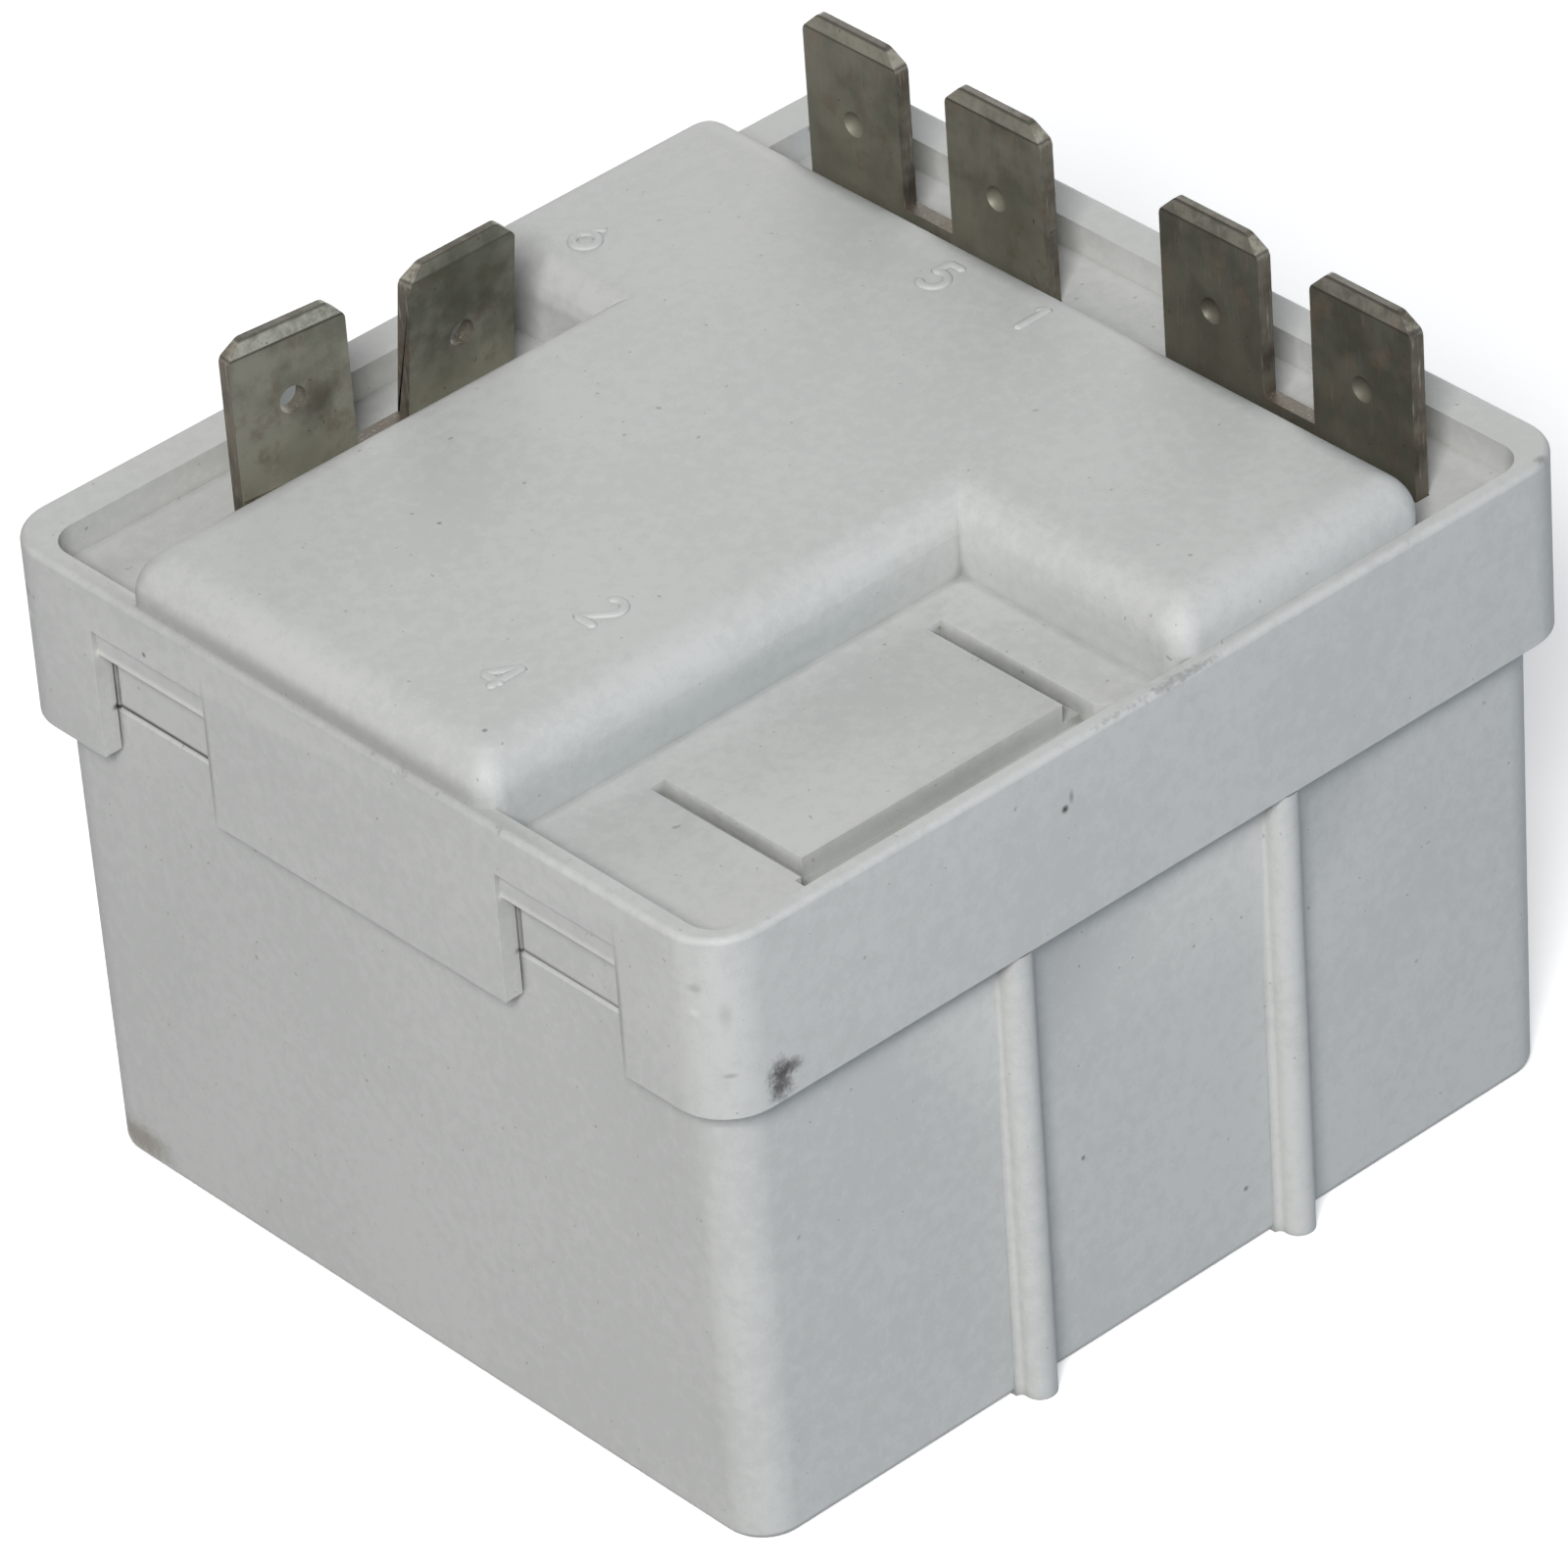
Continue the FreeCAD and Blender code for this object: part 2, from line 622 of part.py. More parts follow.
def make_lid():
    plateau = make_plateau()
    tray = make_lid_tray()
    latches = []
    mouths = []
    for side in ("-", "+"):
        face = f"{side}(lid_length / 2 + skirt_wall)"
        recess = f"{side}(lid_length / 2 - ledge_recess)"
        outer = f"{side}(lid_length / 2 - case_inset_top)"
        inner = f"{side}(lid_length / 2 - case_inset_top - latch_web)"
        for centre in latch_centres():
            near = f"{centre} - latch_width / 2"
            far = f"{centre} + latch_width / 2"
            for name, ends, front, back, bottom, top, items in (
                ("LatchWeb", (outer, inner), f"{near} + latch_clearance", f"{far} - latch_clearance",
                 f"{SILL} + latch_clearance", f"{FLOOR_BOTTOM} + lid_floor / 2", latches),
                ("LatchLedge", (recess, inner), near, far, f"{LATCH_TOP} - ledge_height", LATCH_TOP, latches),
                ("LatchMouth", (face, recess), near, far, "skirt_bottom - skirt_wall", LATCH_TOP, mouths),
                ("LatchThroat", (recess, outer), near, far, "skirt_bottom - skirt_wall",
                 f"{LATCH_TOP} - ledge_height", mouths),
            ):
                low, high = ends if side == "-" else ends[::-1]
                items.append(block(name, low, high, front, back, bottom, top))
    boss = block(
        "TongueBoss", f"{TONGUE_LEFT} - 2 * lid_floor", f"{TONGUE_RIGHT} + 2 * lid_floor",
        f"{FRONT} + case_inset_top + case_wall + slot_clearance", f"{FRONT} + pocket_width",
        f"{FLOOR_BOTTOM} - lid_floor / 2", f"{FLOOR_BOTTOM} + lid_floor / 2",
    )
    solid = fuse("LidSolid", [tray, plateau, boss] + latches)

    hollow = new_body("PlateauHollow")
    sketch = sketch_on(hollow, "XY", f"{FLOOR_BOTTOM} - lid_floor")
    draw_outline(sketch, plateau_corners("plateau_wall"))
    pad(hollow, sketch, f"{PLATEAU_TOP} - plateau_wall - {FLOOR_BOTTOM} + lid_floor")
    keep = block(
        "HollowKeep", f"{LEFT} + case_inset_top + case_wall", f"{RIGHT} - case_inset_top - case_wall",
        f"{FRONT} + case_inset_top + case_wall", f"{BACK} - case_inset_top - case_wall",
        f"{FLOOR_BOTTOM} - lid_floor", PLATEAU_TOP,
    )
    inside = doc.addObject("Part::MultiCommon", "HollowInside")
    inside.Shapes = [hollow, keep]

    tools = [inside, make_groove()] + mouths
    for name, start in (("ChannelLeft", f"{TONGUE_LEFT} - channel_width"), ("ChannelRight", TONGUE_RIGHT)):
        tools.append(block(
            name, start, f"{start} + channel_width", TONGUE_FRONT, f"{FRONT} + tongue_back",
            f"{FLOOR_TOP} - channel_depth", "lid_top",
        ))
    half = "(tab_width + tab_gap / 2 + slot_clearance)"
    for shift in ("(-front_pair_shift)", "back_pair_shift"):
        tools.append(block(
            "SideSlot", f"{SIDE_PLANE} - slot_clearance", f"{SIDE_PLANE} + tab_thickness + slot_clearance",
            f"{shift} - {half}", f"{shift} + {half}", FOOT_BOTTOM, "lid_top",
        ))
    tools.append(block(
        "RearSlot", f"{REAR_PAIR} - {half}", f"{REAR_PAIR} + {half}",
        f"{REAR_PLANE} - slot_clearance", f"{REAR_PLANE} + tab_thickness + slot_clearance",
        FOOT_BOTTOM, "lid_top",
    ))
    return finish(cut("Lid", solid, tools), "lid")


def make_tab(name, side, through, height):
    """One blade: its face outline met by its bevelled side outline, with a hole or a dimple.

    It stands in its pair's own frame, with the width along X and the thickness behind the XZ plane.
    """
    near = f"{side}(tab_gap / 2)"
    far = f"{side}(tab_gap / 2 + tab_width)"
    near_corner = f"{side}(tab_gap / 2 + tab_corner)"
    far_corner = f"{side}(tab_gap / 2 + tab_width - tab_corner)"
    root = f"{FLOOR_TOP}"
    face = new_body(name + "Face")
    front = sketch_on(face, "XZ", "0")
    draw_outline(front, [
        (near, root), (far, root), (far, f"{TAB_TOP} - tab_corner"), (far_corner, TAB_TOP),
        (near_corner, TAB_TOP), (near, f"{TAB_TOP} - tab_corner"),
    ])
    blank = pad(face, front, "tab_thickness")
    corners = [abs(value(place_text)) for place_text in (near_corner, far_corner)]
    top = value(TAB_TOP)
    soften(
        face, "Fillet", blank, "tab_corner / 2",
        lambda middle, direction: abs(direction.y) > 1 - TOLERANCE and abs(middle.z - top) < TOLERANCE
        and any(abs(abs(middle.x) - corner) < TOLERANCE for corner in corners),
    )
    edge = new_body(name + "Edge")
    side_view = sketch_on(edge, "YZ", f"{side}(tab_gap / 2 + tab_width / 2) - tab_width")
    draw_outline(side_view, [
        ("-tab_thickness", root), ("0", root), ("0", f"{TAB_TOP} - tab_bevel_height"),
        ("-(tab_thickness - tab_tip) / 2", TAB_TOP), ("-(tab_thickness + tab_tip) / 2", TAB_TOP),
        ("-tab_thickness", f"{TAB_TOP} - tab_bevel_height"),
    ])
    pad(edge, side_view, "2 * tab_width")
    blade = doc.addObject("Part::MultiCommon", name + "Blade")
    blade.Shapes = [face, edge]
    centre = f"{side}(tab_gap / 2 + tab_width / 2)"
    if through:
        tool = rod(
            name + "Hole", "tab_hole_radius", "3 * tab_thickness", centre, "-2 * tab_thickness", height,
            Vector(0, 1, 0),
        )
    else:
        tool = doc.addObject("Part::Sphere", name + "Dimple")
        tie(tool, Radius="dimple_radius")
        place(tool, centre, "dimple_radius - dimple_depth", height)
    return cut(name, blade, [tool])


def make_terminal(label, x, y, turn, foot_shift, foot_reach, tabs, with_flag=False):
    """A pair of blades on one bar, with a foot bent in under the lid floor.

    In its own frame the plate lies just behind the XZ plane and the foot reaches towards +Y.
    """
    bar = block(
        label + "Bar", "-(tab_gap / 2 + tab_width)", "tab_gap / 2 + tab_width", "-tab_thickness", "0",
        FOOT_BOTTOM, BAR_TOP,
    )
    foot = block(
        label + "Foot", f"{foot_shift} - leg_width / 2", f"{foot_shift} + leg_width / 2",
        "-tab_thickness", foot_reach, FOOT_BOTTOM, FLOOR_BOTTOM,
    )
    pieces = [bar, foot] + tabs
    if with_flag:
        pieces.append(block(
            label + "Flag", f"{foot_shift} - leg_width / 2", f"{foot_shift} + leg_width / 2",
            f"({foot_reach}) - tab_thickness", foot_reach, f"{CONTACT_HEIGHT} - flag_margin", FLOOR_BOTTOM,
        ))
    plate = fuse(label + "Plate", pieces)
    if with_flag:
        plate = cut(label + "Drilled", plate, [rod(
            label + "RivetHole", "contact_shank", "3 * tab_thickness",
            foot_shift, f"({foot_reach}) - 2 * tab_thickness", CONTACT_HEIGHT, Vector(0, 1, 0),
        )])
    plate.Placement.Rotation = FreeCAD.Rotation(Vector(0, 0, 1), turn)
    place(plate, x, y)
    return finish(plate, label)


def make_terminals():
    """Rear pair with one blade twisted and one bent forwards, and two straight pairs at the side."""
    twisted = make_tab("TwistedTab", "", True, RAISED_HOLE_HEIGHT)
    bent = make_tab("BentTab", "-", True, HOLE_HEIGHT)
    centre = value("tab_gap / 2 + tab_width / 2")
    root = value(BAR_TOP)
    twisted.Placement = FreeCAD.Placement(
        Vector(0, 0, 0), FreeCAD.Rotation(Vector(0, 0, 1), -value("twisted_tab_angle")),
        Vector(centre, -value("tab_thickness") / 2, root),
    )
    bent.Placement = FreeCAD.Placement(
        Vector(0, 0, 0), FreeCAD.Rotation(Vector(1, 0, 0), -value("bent_tab_angle")),
        Vector(-centre, -value("tab_thickness") / 2, root),
    )
    make_terminal(
        "terminal_rear", REAR_PAIR, REAR_PLANE, 180, "rear_foot_shift", "rear_foot_reach", [twisted, bent],
    )
    for label, shift, foot_shift, foot_reach, with_flag in (
        ("terminal_side_back", "back_pair_shift", "0", "side_foot_reach", False),
        (
            "terminal_side_front", "-front_pair_shift", "contact_foot_shift",
            f"({SIDE_PLANE} - {FLAG_LEFT})", True,
        ),
    ):
        tabs = [
            make_tab(label + "TabLow", "-", False, HOLE_HEIGHT),
            make_tab(label + "TabHigh", "", False, HOLE_HEIGHT),
        ]
        make_terminal(label, SIDE_PLANE, shift, 90, foot_shift, foot_reach, tabs, with_flag)


def make_frame():
    """Magnet frame: base, back plate, two hinge ears and the bracket that holds the return spring."""
    body = new_body("Frame")
    base = sketch_on(body, "XY", "case_floor")
    draw_rectangle(base, FRAME_LEFT, FRAME_RIGHT, "-frame_width / 2", "frame_width / 2")
    pad(body, base, "sheet_thickness")
    back = sketch_on(body, "YZ", FRAME_LEFT)
    draw_rectangle(back, "-back_plate_width / 2", "back_plate_width / 2", "case_floor", "back_plate_top")
    pad(body, back, "sheet_thickness")

    bracket = sketch_on(body, "XZ", "bracket_width / 2")
    draw_outline(bracket, [
        (BRACKET_LEFT, "case_floor"), (f"{BRACKET_LEFT} + sheet_thickness", "case_floor"),
        (f"{BRACKET_LEFT} + sheet_thickness", "bracket_height + sheet_thickness"),
        (f"{SPRING_PLACE} - spring_radius - spring_wire", "bracket_height + sheet_thickness"),
        (f"{SPRING_PLACE} - spring_radius - spring_wire", "bracket_height"), (BRACKET_LEFT, "bracket_height"),
    ])
    pad(body, bracket, "bracket_width")
    nub = sketch_on(body, "XY", "bracket_height - spring_nub_height")
    draw_circle(nub, SPRING_PLACE, "0", "spring_nub_radius")
    pad(body, nub, "spring_nub_height")
    stop = sketch_on(body, "XY", "case_floor")
    draw_rectangle(
        stop, f"{TAIL_END} - 2 * stop_length", f"{TAIL_END} - stop_length",
        "-stop_width / 2", "stop_width / 2",
    )
    pad(body, stop, f"{TAIL_BOTTOM} - case_floor")

    for start in (f"-{EAR_INSIDE}", f"{EAR_INSIDE} + sheet_thickness"):
        ear = sketch_on(body, "XZ", start)
        draw_circle(ear, PIVOT, "pivot_height", "ear_radius")
        pad(body, ear, "sheet_thickness")
        foot = sketch_on(body, "XZ", start)
        draw_rectangle(foot, f"{PIVOT} - ear_radius", f"{PIVOT} + ear_radius", "case_floor", "pivot_height")
        pad(body, foot, "sheet_thickness")
    bores = sketch_on(body, "XZ", f"-{EAR_INSIDE} - 2 * sheet_thickness")
    draw_circle(bores, PIVOT, "pivot_height", "hinge_radius + hinge_clearance")
    pocket(body, bores)
    shank = sketch_on(body, "YZ", f"{FRAME_LEFT} + sheet_thickness")
    draw_circle(shank, "0", "coil_height", "core_shank_radius")
    pocket(body, shank, "sheet_thickness")
    screws = sketch_on(body, "XY", FRAME_TOP)
    for side in ("-", "+"):
        across = f"{side}(frame_width / 2 - screw_edge)"
        draw_circle(screws, f"{FRAME_LEFT} + screw_reach", across, "screw_radius + rivet_clearance")
    pocket(body, screws, "sheet_thickness")
    return finish(body, "frame")


def make_turned(name, along, profile):
    """A turned solid from its half outline, about its own X or Z axis."""
    body = new_body(name)
    sketch = sketch_on(body, "XZ")
    draw_outline(sketch, profile)
    spin(body, sketch, "H_Axis" if along == "X" else "V_Axis")
    return body


def make_core():
    """Soft iron core: riveted end, shank through the frame, round bar and pole face."""
    body = make_turned("Core", "X", [
        (f"{FRAME_LEFT} - core_head", "0"), (f"{FRAME_LEFT} - core_head", "core_radius"),
        (FRAME_LEFT, "core_radius"), (FRAME_LEFT, "core_shank_radius"), (BOBBIN_LEFT, "core_shank_radius"),
        (BOBBIN_LEFT, "core_radius"), (BOBBIN_RIGHT, "core_radius"), (BOBBIN_RIGHT, "pole_radius"),
        (POLE_FACE, "pole_radius"), (POLE_FACE, "0"),
    ])
    place(body, z="coil_height")
    return finish(body, "core")


def make_bobbin():
    """Spool between the frame and the pole face, with a pin block on top of each flange."""
    bore = "(core_radius + core_clearance)"
    tube = f"({bore} + bobbin_wall)"
    spool = make_turned("Spool", "X", [
        (BOBBIN_LEFT, bore), (BOBBIN_LEFT, "flange_radius"),
        (f"{BOBBIN_LEFT} + flange_thickness", "flange_radius"),
        (f"{BOBBIN_LEFT} + flange_thickness", tube), (f"{BOBBIN_RIGHT} - flange_thickness", tube),
        (f"{BOBBIN_RIGHT} - flange_thickness", "flange_radius"), (BOBBIN_RIGHT, "flange_radius"),
        (BOBBIN_RIGHT, bore),
    ])
    place(spool, z="coil_height")
    blocks = []
    sockets = []
    pins = []
    for number, left in enumerate((BOBBIN_LEFT, f"({BOBBIN_RIGHT} - flange_thickness)")):
        middle = f"{left} + flange_thickness / 2"
        blocks.append(block(
            f"PinBlock{number}", left, f"{left} + flange_thickness",
            "pin_block_shift - pin_block_width / 2", "pin_block_shift + pin_block_width / 2",
            "coil_height + flange_radius / 2", "coil_height + flange_radius",
        ))
        low = "coil_height + flange_radius - pin_depth"
        for label, length, items in (
            ("PinSocket", "2 * pin_depth", sockets), ("Pin", "pin_depth + pin_rise", pins),
        ):
            items.append(rod(f"{label}{number}", "pin_radius", length, middle, "pin_block_shift", low))
    finish(cut("Bobbin", fuse("BobbinSolid", [spool] + blocks), sockets), "bobbin")
    finish(group("Pins", pins), "coil_pins")
    return tube


def make_winding(tube):
    """Copper winding on the spool and the tape round it."""
    left = f"{BOBBIN_LEFT} + flange_thickness"
    right = f"{BOBBIN_RIGHT} - flange_thickness"
    wound = f"{tube} + winding_depth"
    for label, inner, outer in (("winding", tube, wound), ("coil_tape", wound, f"{wound} + tape_thickness")):
        body = make_turned(label.title(), "X", [(left, inner), (left, outer), (right, outer), (right, inner)])
        place(body, z="coil_height")
        finish(body, label)


def make_armature():
    """Hinged plate in front of the pole, with a contact arm above and a spring tail in front."""
    body = new_body("Armature")
    plate = sketch_on(body, "YZ", ARMATURE_LEFT)
    draw_outline(plate, [
        ("-armature_width / 2", "pivot_height"), ("armature_width / 2", "pivot_height"),
        ("armature_width / 2", "armature_top"), ("-armature_width / 2 + arm_width", "armature_top"),
        ("-armature_width / 2 + arm_width", ARM_TOP), ("-armature_width / 2", ARM_TOP),
    ])
    pad(body, plate, "armature_thickness")
    knuckle = sketch_on(body, "XZ", "armature_width / 2")
    draw_circle(knuckle, PIVOT, "pivot_height", "knuckle_radius")
    pad(body, knuckle, "armature_width")
    tail = sketch_on(body, "XY", TAIL_BOTTOM)
    draw_rectangle(tail, PIVOT, TAIL_END, "-tail_width / 2", "tail_width / 2")
    pad(body, tail, "armature_thickness")
    nub = sketch_on(body, "XY", TAIL_TOP)
    draw_circle(nub, SPRING_PLACE, "0", "spring_nub_radius")
    pad(body, nub, "spring_nub_height")
    bore = sketch_on(body, "XZ", "-armature_width / 2 - sheet_thickness")
    draw_circle(bore, PIVOT, "pivot_height", "hinge_radius + hinge_clearance")
    pocket(body, bore)
    rivets = sketch_on(body, "YZ", ARMATURE_RIGHT)
    for height in (RIVET_LOW, RIVET_HIGH):
        draw_circle(rivets, CONTACT_PLACE, height, "rivet_radius + rivet_clearance")
    pocket(body, rivets, "armature_thickness")
    finish(body, "armature")

    pad_disc = rod(
        "PadDisc", "pad_radius", "pad_thickness", f"{ARMATURE_LEFT} - pad_thickness", "0", "coil_height",
        Vector(1, 0, 0),
    )
    finish(pad_disc, "residual_pad")
    half = f"({EAR_INSIDE} + sheet_thickness + hinge_overhang)"
    hinge = rod(
        "HingePin", "hinge_radius", f"2 * {half}", PIVOT, f"-{half}", "pivot_height", Vector(0, 1, 0),
    )
    finish(hinge, "hinge_pin")


def make_spring():
    """Return spring, wound round the two nubs from the armature's tail to the bracket."""
    body = new_body("Spring")
    wire = sketch_on(body, "XZ")
    draw_circle(wire, "spring_radius", "spring_wire / 2", "spring_wire / 2")
    coil = body.newObject("PartDesign::AdditiveHelix", "SpringCoil")
    coil.Profile = wire
    coil.ReferenceAxis = (wire, ["V_Axis"])
    coil.Mode = "height-turns-angle"
    tie(coil, Height=f"bracket_height - {TAIL_TOP} - spring_wire", Turns="spring_turns")
    place(body, SPRING_PLACE, "0", TAIL_TOP)
    return finish(body, "return_spring")


def make_contacts():
    """Contact blade riveted to the arm, the two contacts and the blade's rivets."""
    body = new_body("Blade")
    strip = sketch_on(body, "YZ", ARMATURE_RIGHT)
    draw_rectangle(
        strip, f"{CONTACT_PLACE} - blade_width / 2", f"{CONTACT_PLACE} + blade_width / 2",
        f"{RIVET_LOW} - blade_start", f"{CONTACT_HEIGHT} + blade_end",
    )
    blank = pad(body, strip, "blade_thickness")
    soften(
        body, "Fillet", blank, "blade_width / 3",
        lambda middle, direction: abs(direction.x) > 1 - TOLERANCE,
    )
    holes = sketch_on(body, "YZ", BLADE_RIGHT)
    for height in (RIVET_LOW, RIVET_HIGH):
        draw_circle(holes, CONTACT_PLACE, height, "rivet_radius + rivet_clearance")
    draw_circle(holes, CONTACT_PLACE, CONTACT_HEIGHT, "contact_shank")
    pocket(body, holes, "2 * blade_thickness")
    finish(body, "contact_blade")

    rivets = []
    for number, height in enumerate((RIVET_LOW, RIVET_HIGH)):
        rivet = make_turned(f"Rivet{number}", "X", [
            (f"{ARMATURE_LEFT} - rivet_head", "0"), (f"{ARMATURE_LEFT} - rivet_head", "rivet_head_radius"),
            (ARMATURE_LEFT, "rivet_head_radius"), (ARMATURE_LEFT, "rivet_radius"),
            (BLADE_RIGHT, "rivet_radius"), (BLADE_RIGHT, "rivet_head_radius"),
            (f"{BLADE_RIGHT} + rivet_head", "rivet_head_radius"), (f"{BLADE_RIGHT} + rivet_head", "0"),
        ])
        place(rivet, y=CONTACT_PLACE, z=height)
        rivets.append(rivet)
    finish(group("BladeRivets", rivets), "blade_rivets")

    meeting = f"({BLADE_RIGHT} + contact_thickness)"
    moving = make_turned("MovingContact", "X", [
        (f"{ARMATURE_RIGHT} - contact_tail", "0"), (f"{ARMATURE_RIGHT} - contact_tail", "rivet_head_radius"),
        (ARMATURE_RIGHT, "rivet_head_radius"), (ARMATURE_RIGHT, "contact_shank"),
        (BLADE_RIGHT, "contact_shank"), (BLADE_RIGHT, "contact_radius"),
        (meeting, "contact_radius"), (meeting, "0"),
    ])
    flag_right = f"{FLAG_LEFT} + tab_thickness"
    fixed = make_turned("FixedContact", "X", [
        (meeting, "0"), (meeting, "contact_radius"), (FLAG_LEFT, "contact_radius"),
        (FLAG_LEFT, "contact_shank"), (flag_right, "contact_shank"), (flag_right, "rivet_head_radius"),
        (f"{flag_right} + contact_tail", "rivet_head_radius"), (f"{flag_right} + contact_tail", "0"),
    ])
    for contact, label in ((moving, "moving_contact"), (fixed, "fixed_contact")):
        place(contact, y=CONTACT_PLACE, z=CONTACT_HEIGHT)
        finish(contact, label)


def make_screws():
    """Two self-tapping screws through the frame's base into the case floor."""
    screws = []
    for number, side in enumerate(("-", "+")):
        screw = make_turned(f"Screw{number}", "Z", [
            ("0", "case_floor - screw_depth"), ("screw_radius", "case_floor - screw_depth"),
            ("screw_radius", FRAME_TOP),
            ("screw_head_radius", FRAME_TOP), ("screw_head_radius", f"{FRAME_TOP} + screw_head"),
            ("screw_socket", f"{FRAME_TOP} + screw_head"), ("0", f"{FRAME_TOP} + screw_head / 2"),
        ])
        place(screw, f"{FRAME_LEFT} + screw_reach", f"{side}(frame_width / 2 - screw_edge)")
        screws.append(screw)
    return finish(group("FrameScrews", screws), "frame_screws")


def make_wire(label, route):
    """A round wire along straight runs that are joined by tangent arcs."""
    points = [Vector(*(value(text) for text in point)) for point in route]
    radius = value("wire_bend")
    edges = []
    start = points[0]
    for before, corner, after in zip(points, points[1:], points[2:]):
        incoming = (before - corner).normalize()
        outgoing = (after - corner).normalize()
        half_angle = incoming.getAngle(outgoing) / 2
        setback = radius / math.tan(half_angle)
        bisector = (incoming + outgoing).normalize()
        centre = corner + bisector * (radius / math.sin(half_angle))
        entry = corner + incoming * setback
        leave = corner + outgoing * setback
        edges.append(Part.LineSegment(start, entry).toShape())
        edges.append(Part.Arc(entry, centre - bisector * radius, leave).toShape())
        start = leave
    edges.append(Part.LineSegment(start, points[-1]).toShape())
    section = Part.Wire([Part.makeCircle(value("wire_radius"), points[0], points[1] - points[0])])
    wire = doc.addObject("Part::Feature", label.title())
    wire.Shape = Part.Wire(edges).makePipeShell([section], True, True)
    return finish(wire, label)


def make_wires():
    """Both coil leads up to their terminals, and the link from the frame to the side terminal."""
    lead_top = FOOT_BOTTOM
    rear_x = f"({REAR_PAIR} - rear_foot_shift)"
    rear_y = f"({REAR_PLANE} - rear_foot_reach / 2)"
    side_x = f"({SIDE_PLANE} - side_foot_reach + leg_width / 2 - wire_radius)"
    near_pin = f"{BOBBIN_LEFT} + flange_thickness / 2"
    far_pin = f"{BOBBIN_RIGHT} - flange_thickness / 2"
    make_wire("lead_start", [
        (near_pin, "pin_block_shift", PIN_TOP), (near_pin, "pin_block_shift", "lead_level"),
        (rear_x, rear_y, "lead_level"), (rear_x, rear_y, lead_top),
    ])
    make_wire("lead_finish", [
        (far_pin, "pin_block_shift", PIN_TOP), (far_pin, "pin_block_shift", "lead_level"),
        (side_x, "back_pair_shift", "lead_level"), (side_x, "back_pair_shift", lead_top),
    ])
    link_x = f"{BRACKET_LEFT} + sheet_thickness / 2"
    link_y = "back_pair_shift"
    make_wire("frame_link", [
        (link_x, "bracket_width / 2 - 2 * wire_radius", "bracket_height + sheet_thickness"),
        (link_x, "bracket_width / 2 - 2 * wire_radius", "link_level"),
        (link_x, link_y, "link_level"), (link_x, link_y, lead_top),
    ])


make_case()
make_lid()
make_terminals()
make_frame()
make_core()
make_winding(make_bobbin())
make_armature()
make_spring()
make_contacts()
make_screws()
make_wires()
doc.recompute()

for item in doc.Objects:
    if "Invalid" in item.State or "Error" in item.State:
        raise RuntimeError(f"{item.Label} has not been built: {item.State}")
os.makedirs("parts", exist_ok=True)
for item in SUB_PARTS:
    shape = item.Shape
    if shape.isNull() or not shape.isValid():
        raise RuntimeError(f"{item.Label} has no valid shape")
    shape.exportStep(f"parts/{item.Label}.step")
    box = shape.BoundBox
    print(f"{item.Label}: {len(shape.Solids)} solids, {shape.Volume:.1f} mm3, "
          f"X {box.XMin:.2f} {box.XMax:.2f} Y {box.YMin:.2f} {box.YMax:.2f} Z {box.ZMin:.2f} {box.ZMax:.2f}")
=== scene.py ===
"""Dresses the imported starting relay: moulded housing, tarnished blades, raised numbers and a soft studio."""

import logging
import math
from collections.abc import Callable
from dataclasses import dataclass, field
from enum import Enum

import bmesh
import bpy
import numpy as np
from mathutils import Matrix, Vector

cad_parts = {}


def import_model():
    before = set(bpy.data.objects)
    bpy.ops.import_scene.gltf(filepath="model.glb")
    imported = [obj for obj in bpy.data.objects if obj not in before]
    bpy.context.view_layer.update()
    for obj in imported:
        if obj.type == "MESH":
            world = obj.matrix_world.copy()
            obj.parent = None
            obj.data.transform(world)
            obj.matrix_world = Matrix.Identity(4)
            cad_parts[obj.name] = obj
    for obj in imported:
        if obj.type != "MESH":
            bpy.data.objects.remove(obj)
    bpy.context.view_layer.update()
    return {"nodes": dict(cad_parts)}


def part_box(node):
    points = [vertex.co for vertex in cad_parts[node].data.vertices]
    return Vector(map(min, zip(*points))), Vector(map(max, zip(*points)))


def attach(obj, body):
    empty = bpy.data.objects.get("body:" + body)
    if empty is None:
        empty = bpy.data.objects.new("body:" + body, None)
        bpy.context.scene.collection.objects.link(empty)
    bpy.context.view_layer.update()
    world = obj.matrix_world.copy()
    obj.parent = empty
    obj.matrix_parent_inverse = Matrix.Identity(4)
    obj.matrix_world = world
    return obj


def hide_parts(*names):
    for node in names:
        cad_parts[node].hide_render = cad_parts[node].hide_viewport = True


LOG = logging.getLogger("relay")
MILLIMETRE = 0.001

Colour = tuple[float, float, float]
Place = tuple[float, float, float]
Tree = bpy.types.NodeTree
Node = bpy.types.Node
Socket = bpy.types.NodeSocket
Material = bpy.types.Material
Object = bpy.types.Object

WHITE: Colour = (1.0, 1.0, 1.0)


class Body(Enum):
    """The CAD body that every dressed piece rides on."""

    HOUSING = "housing"


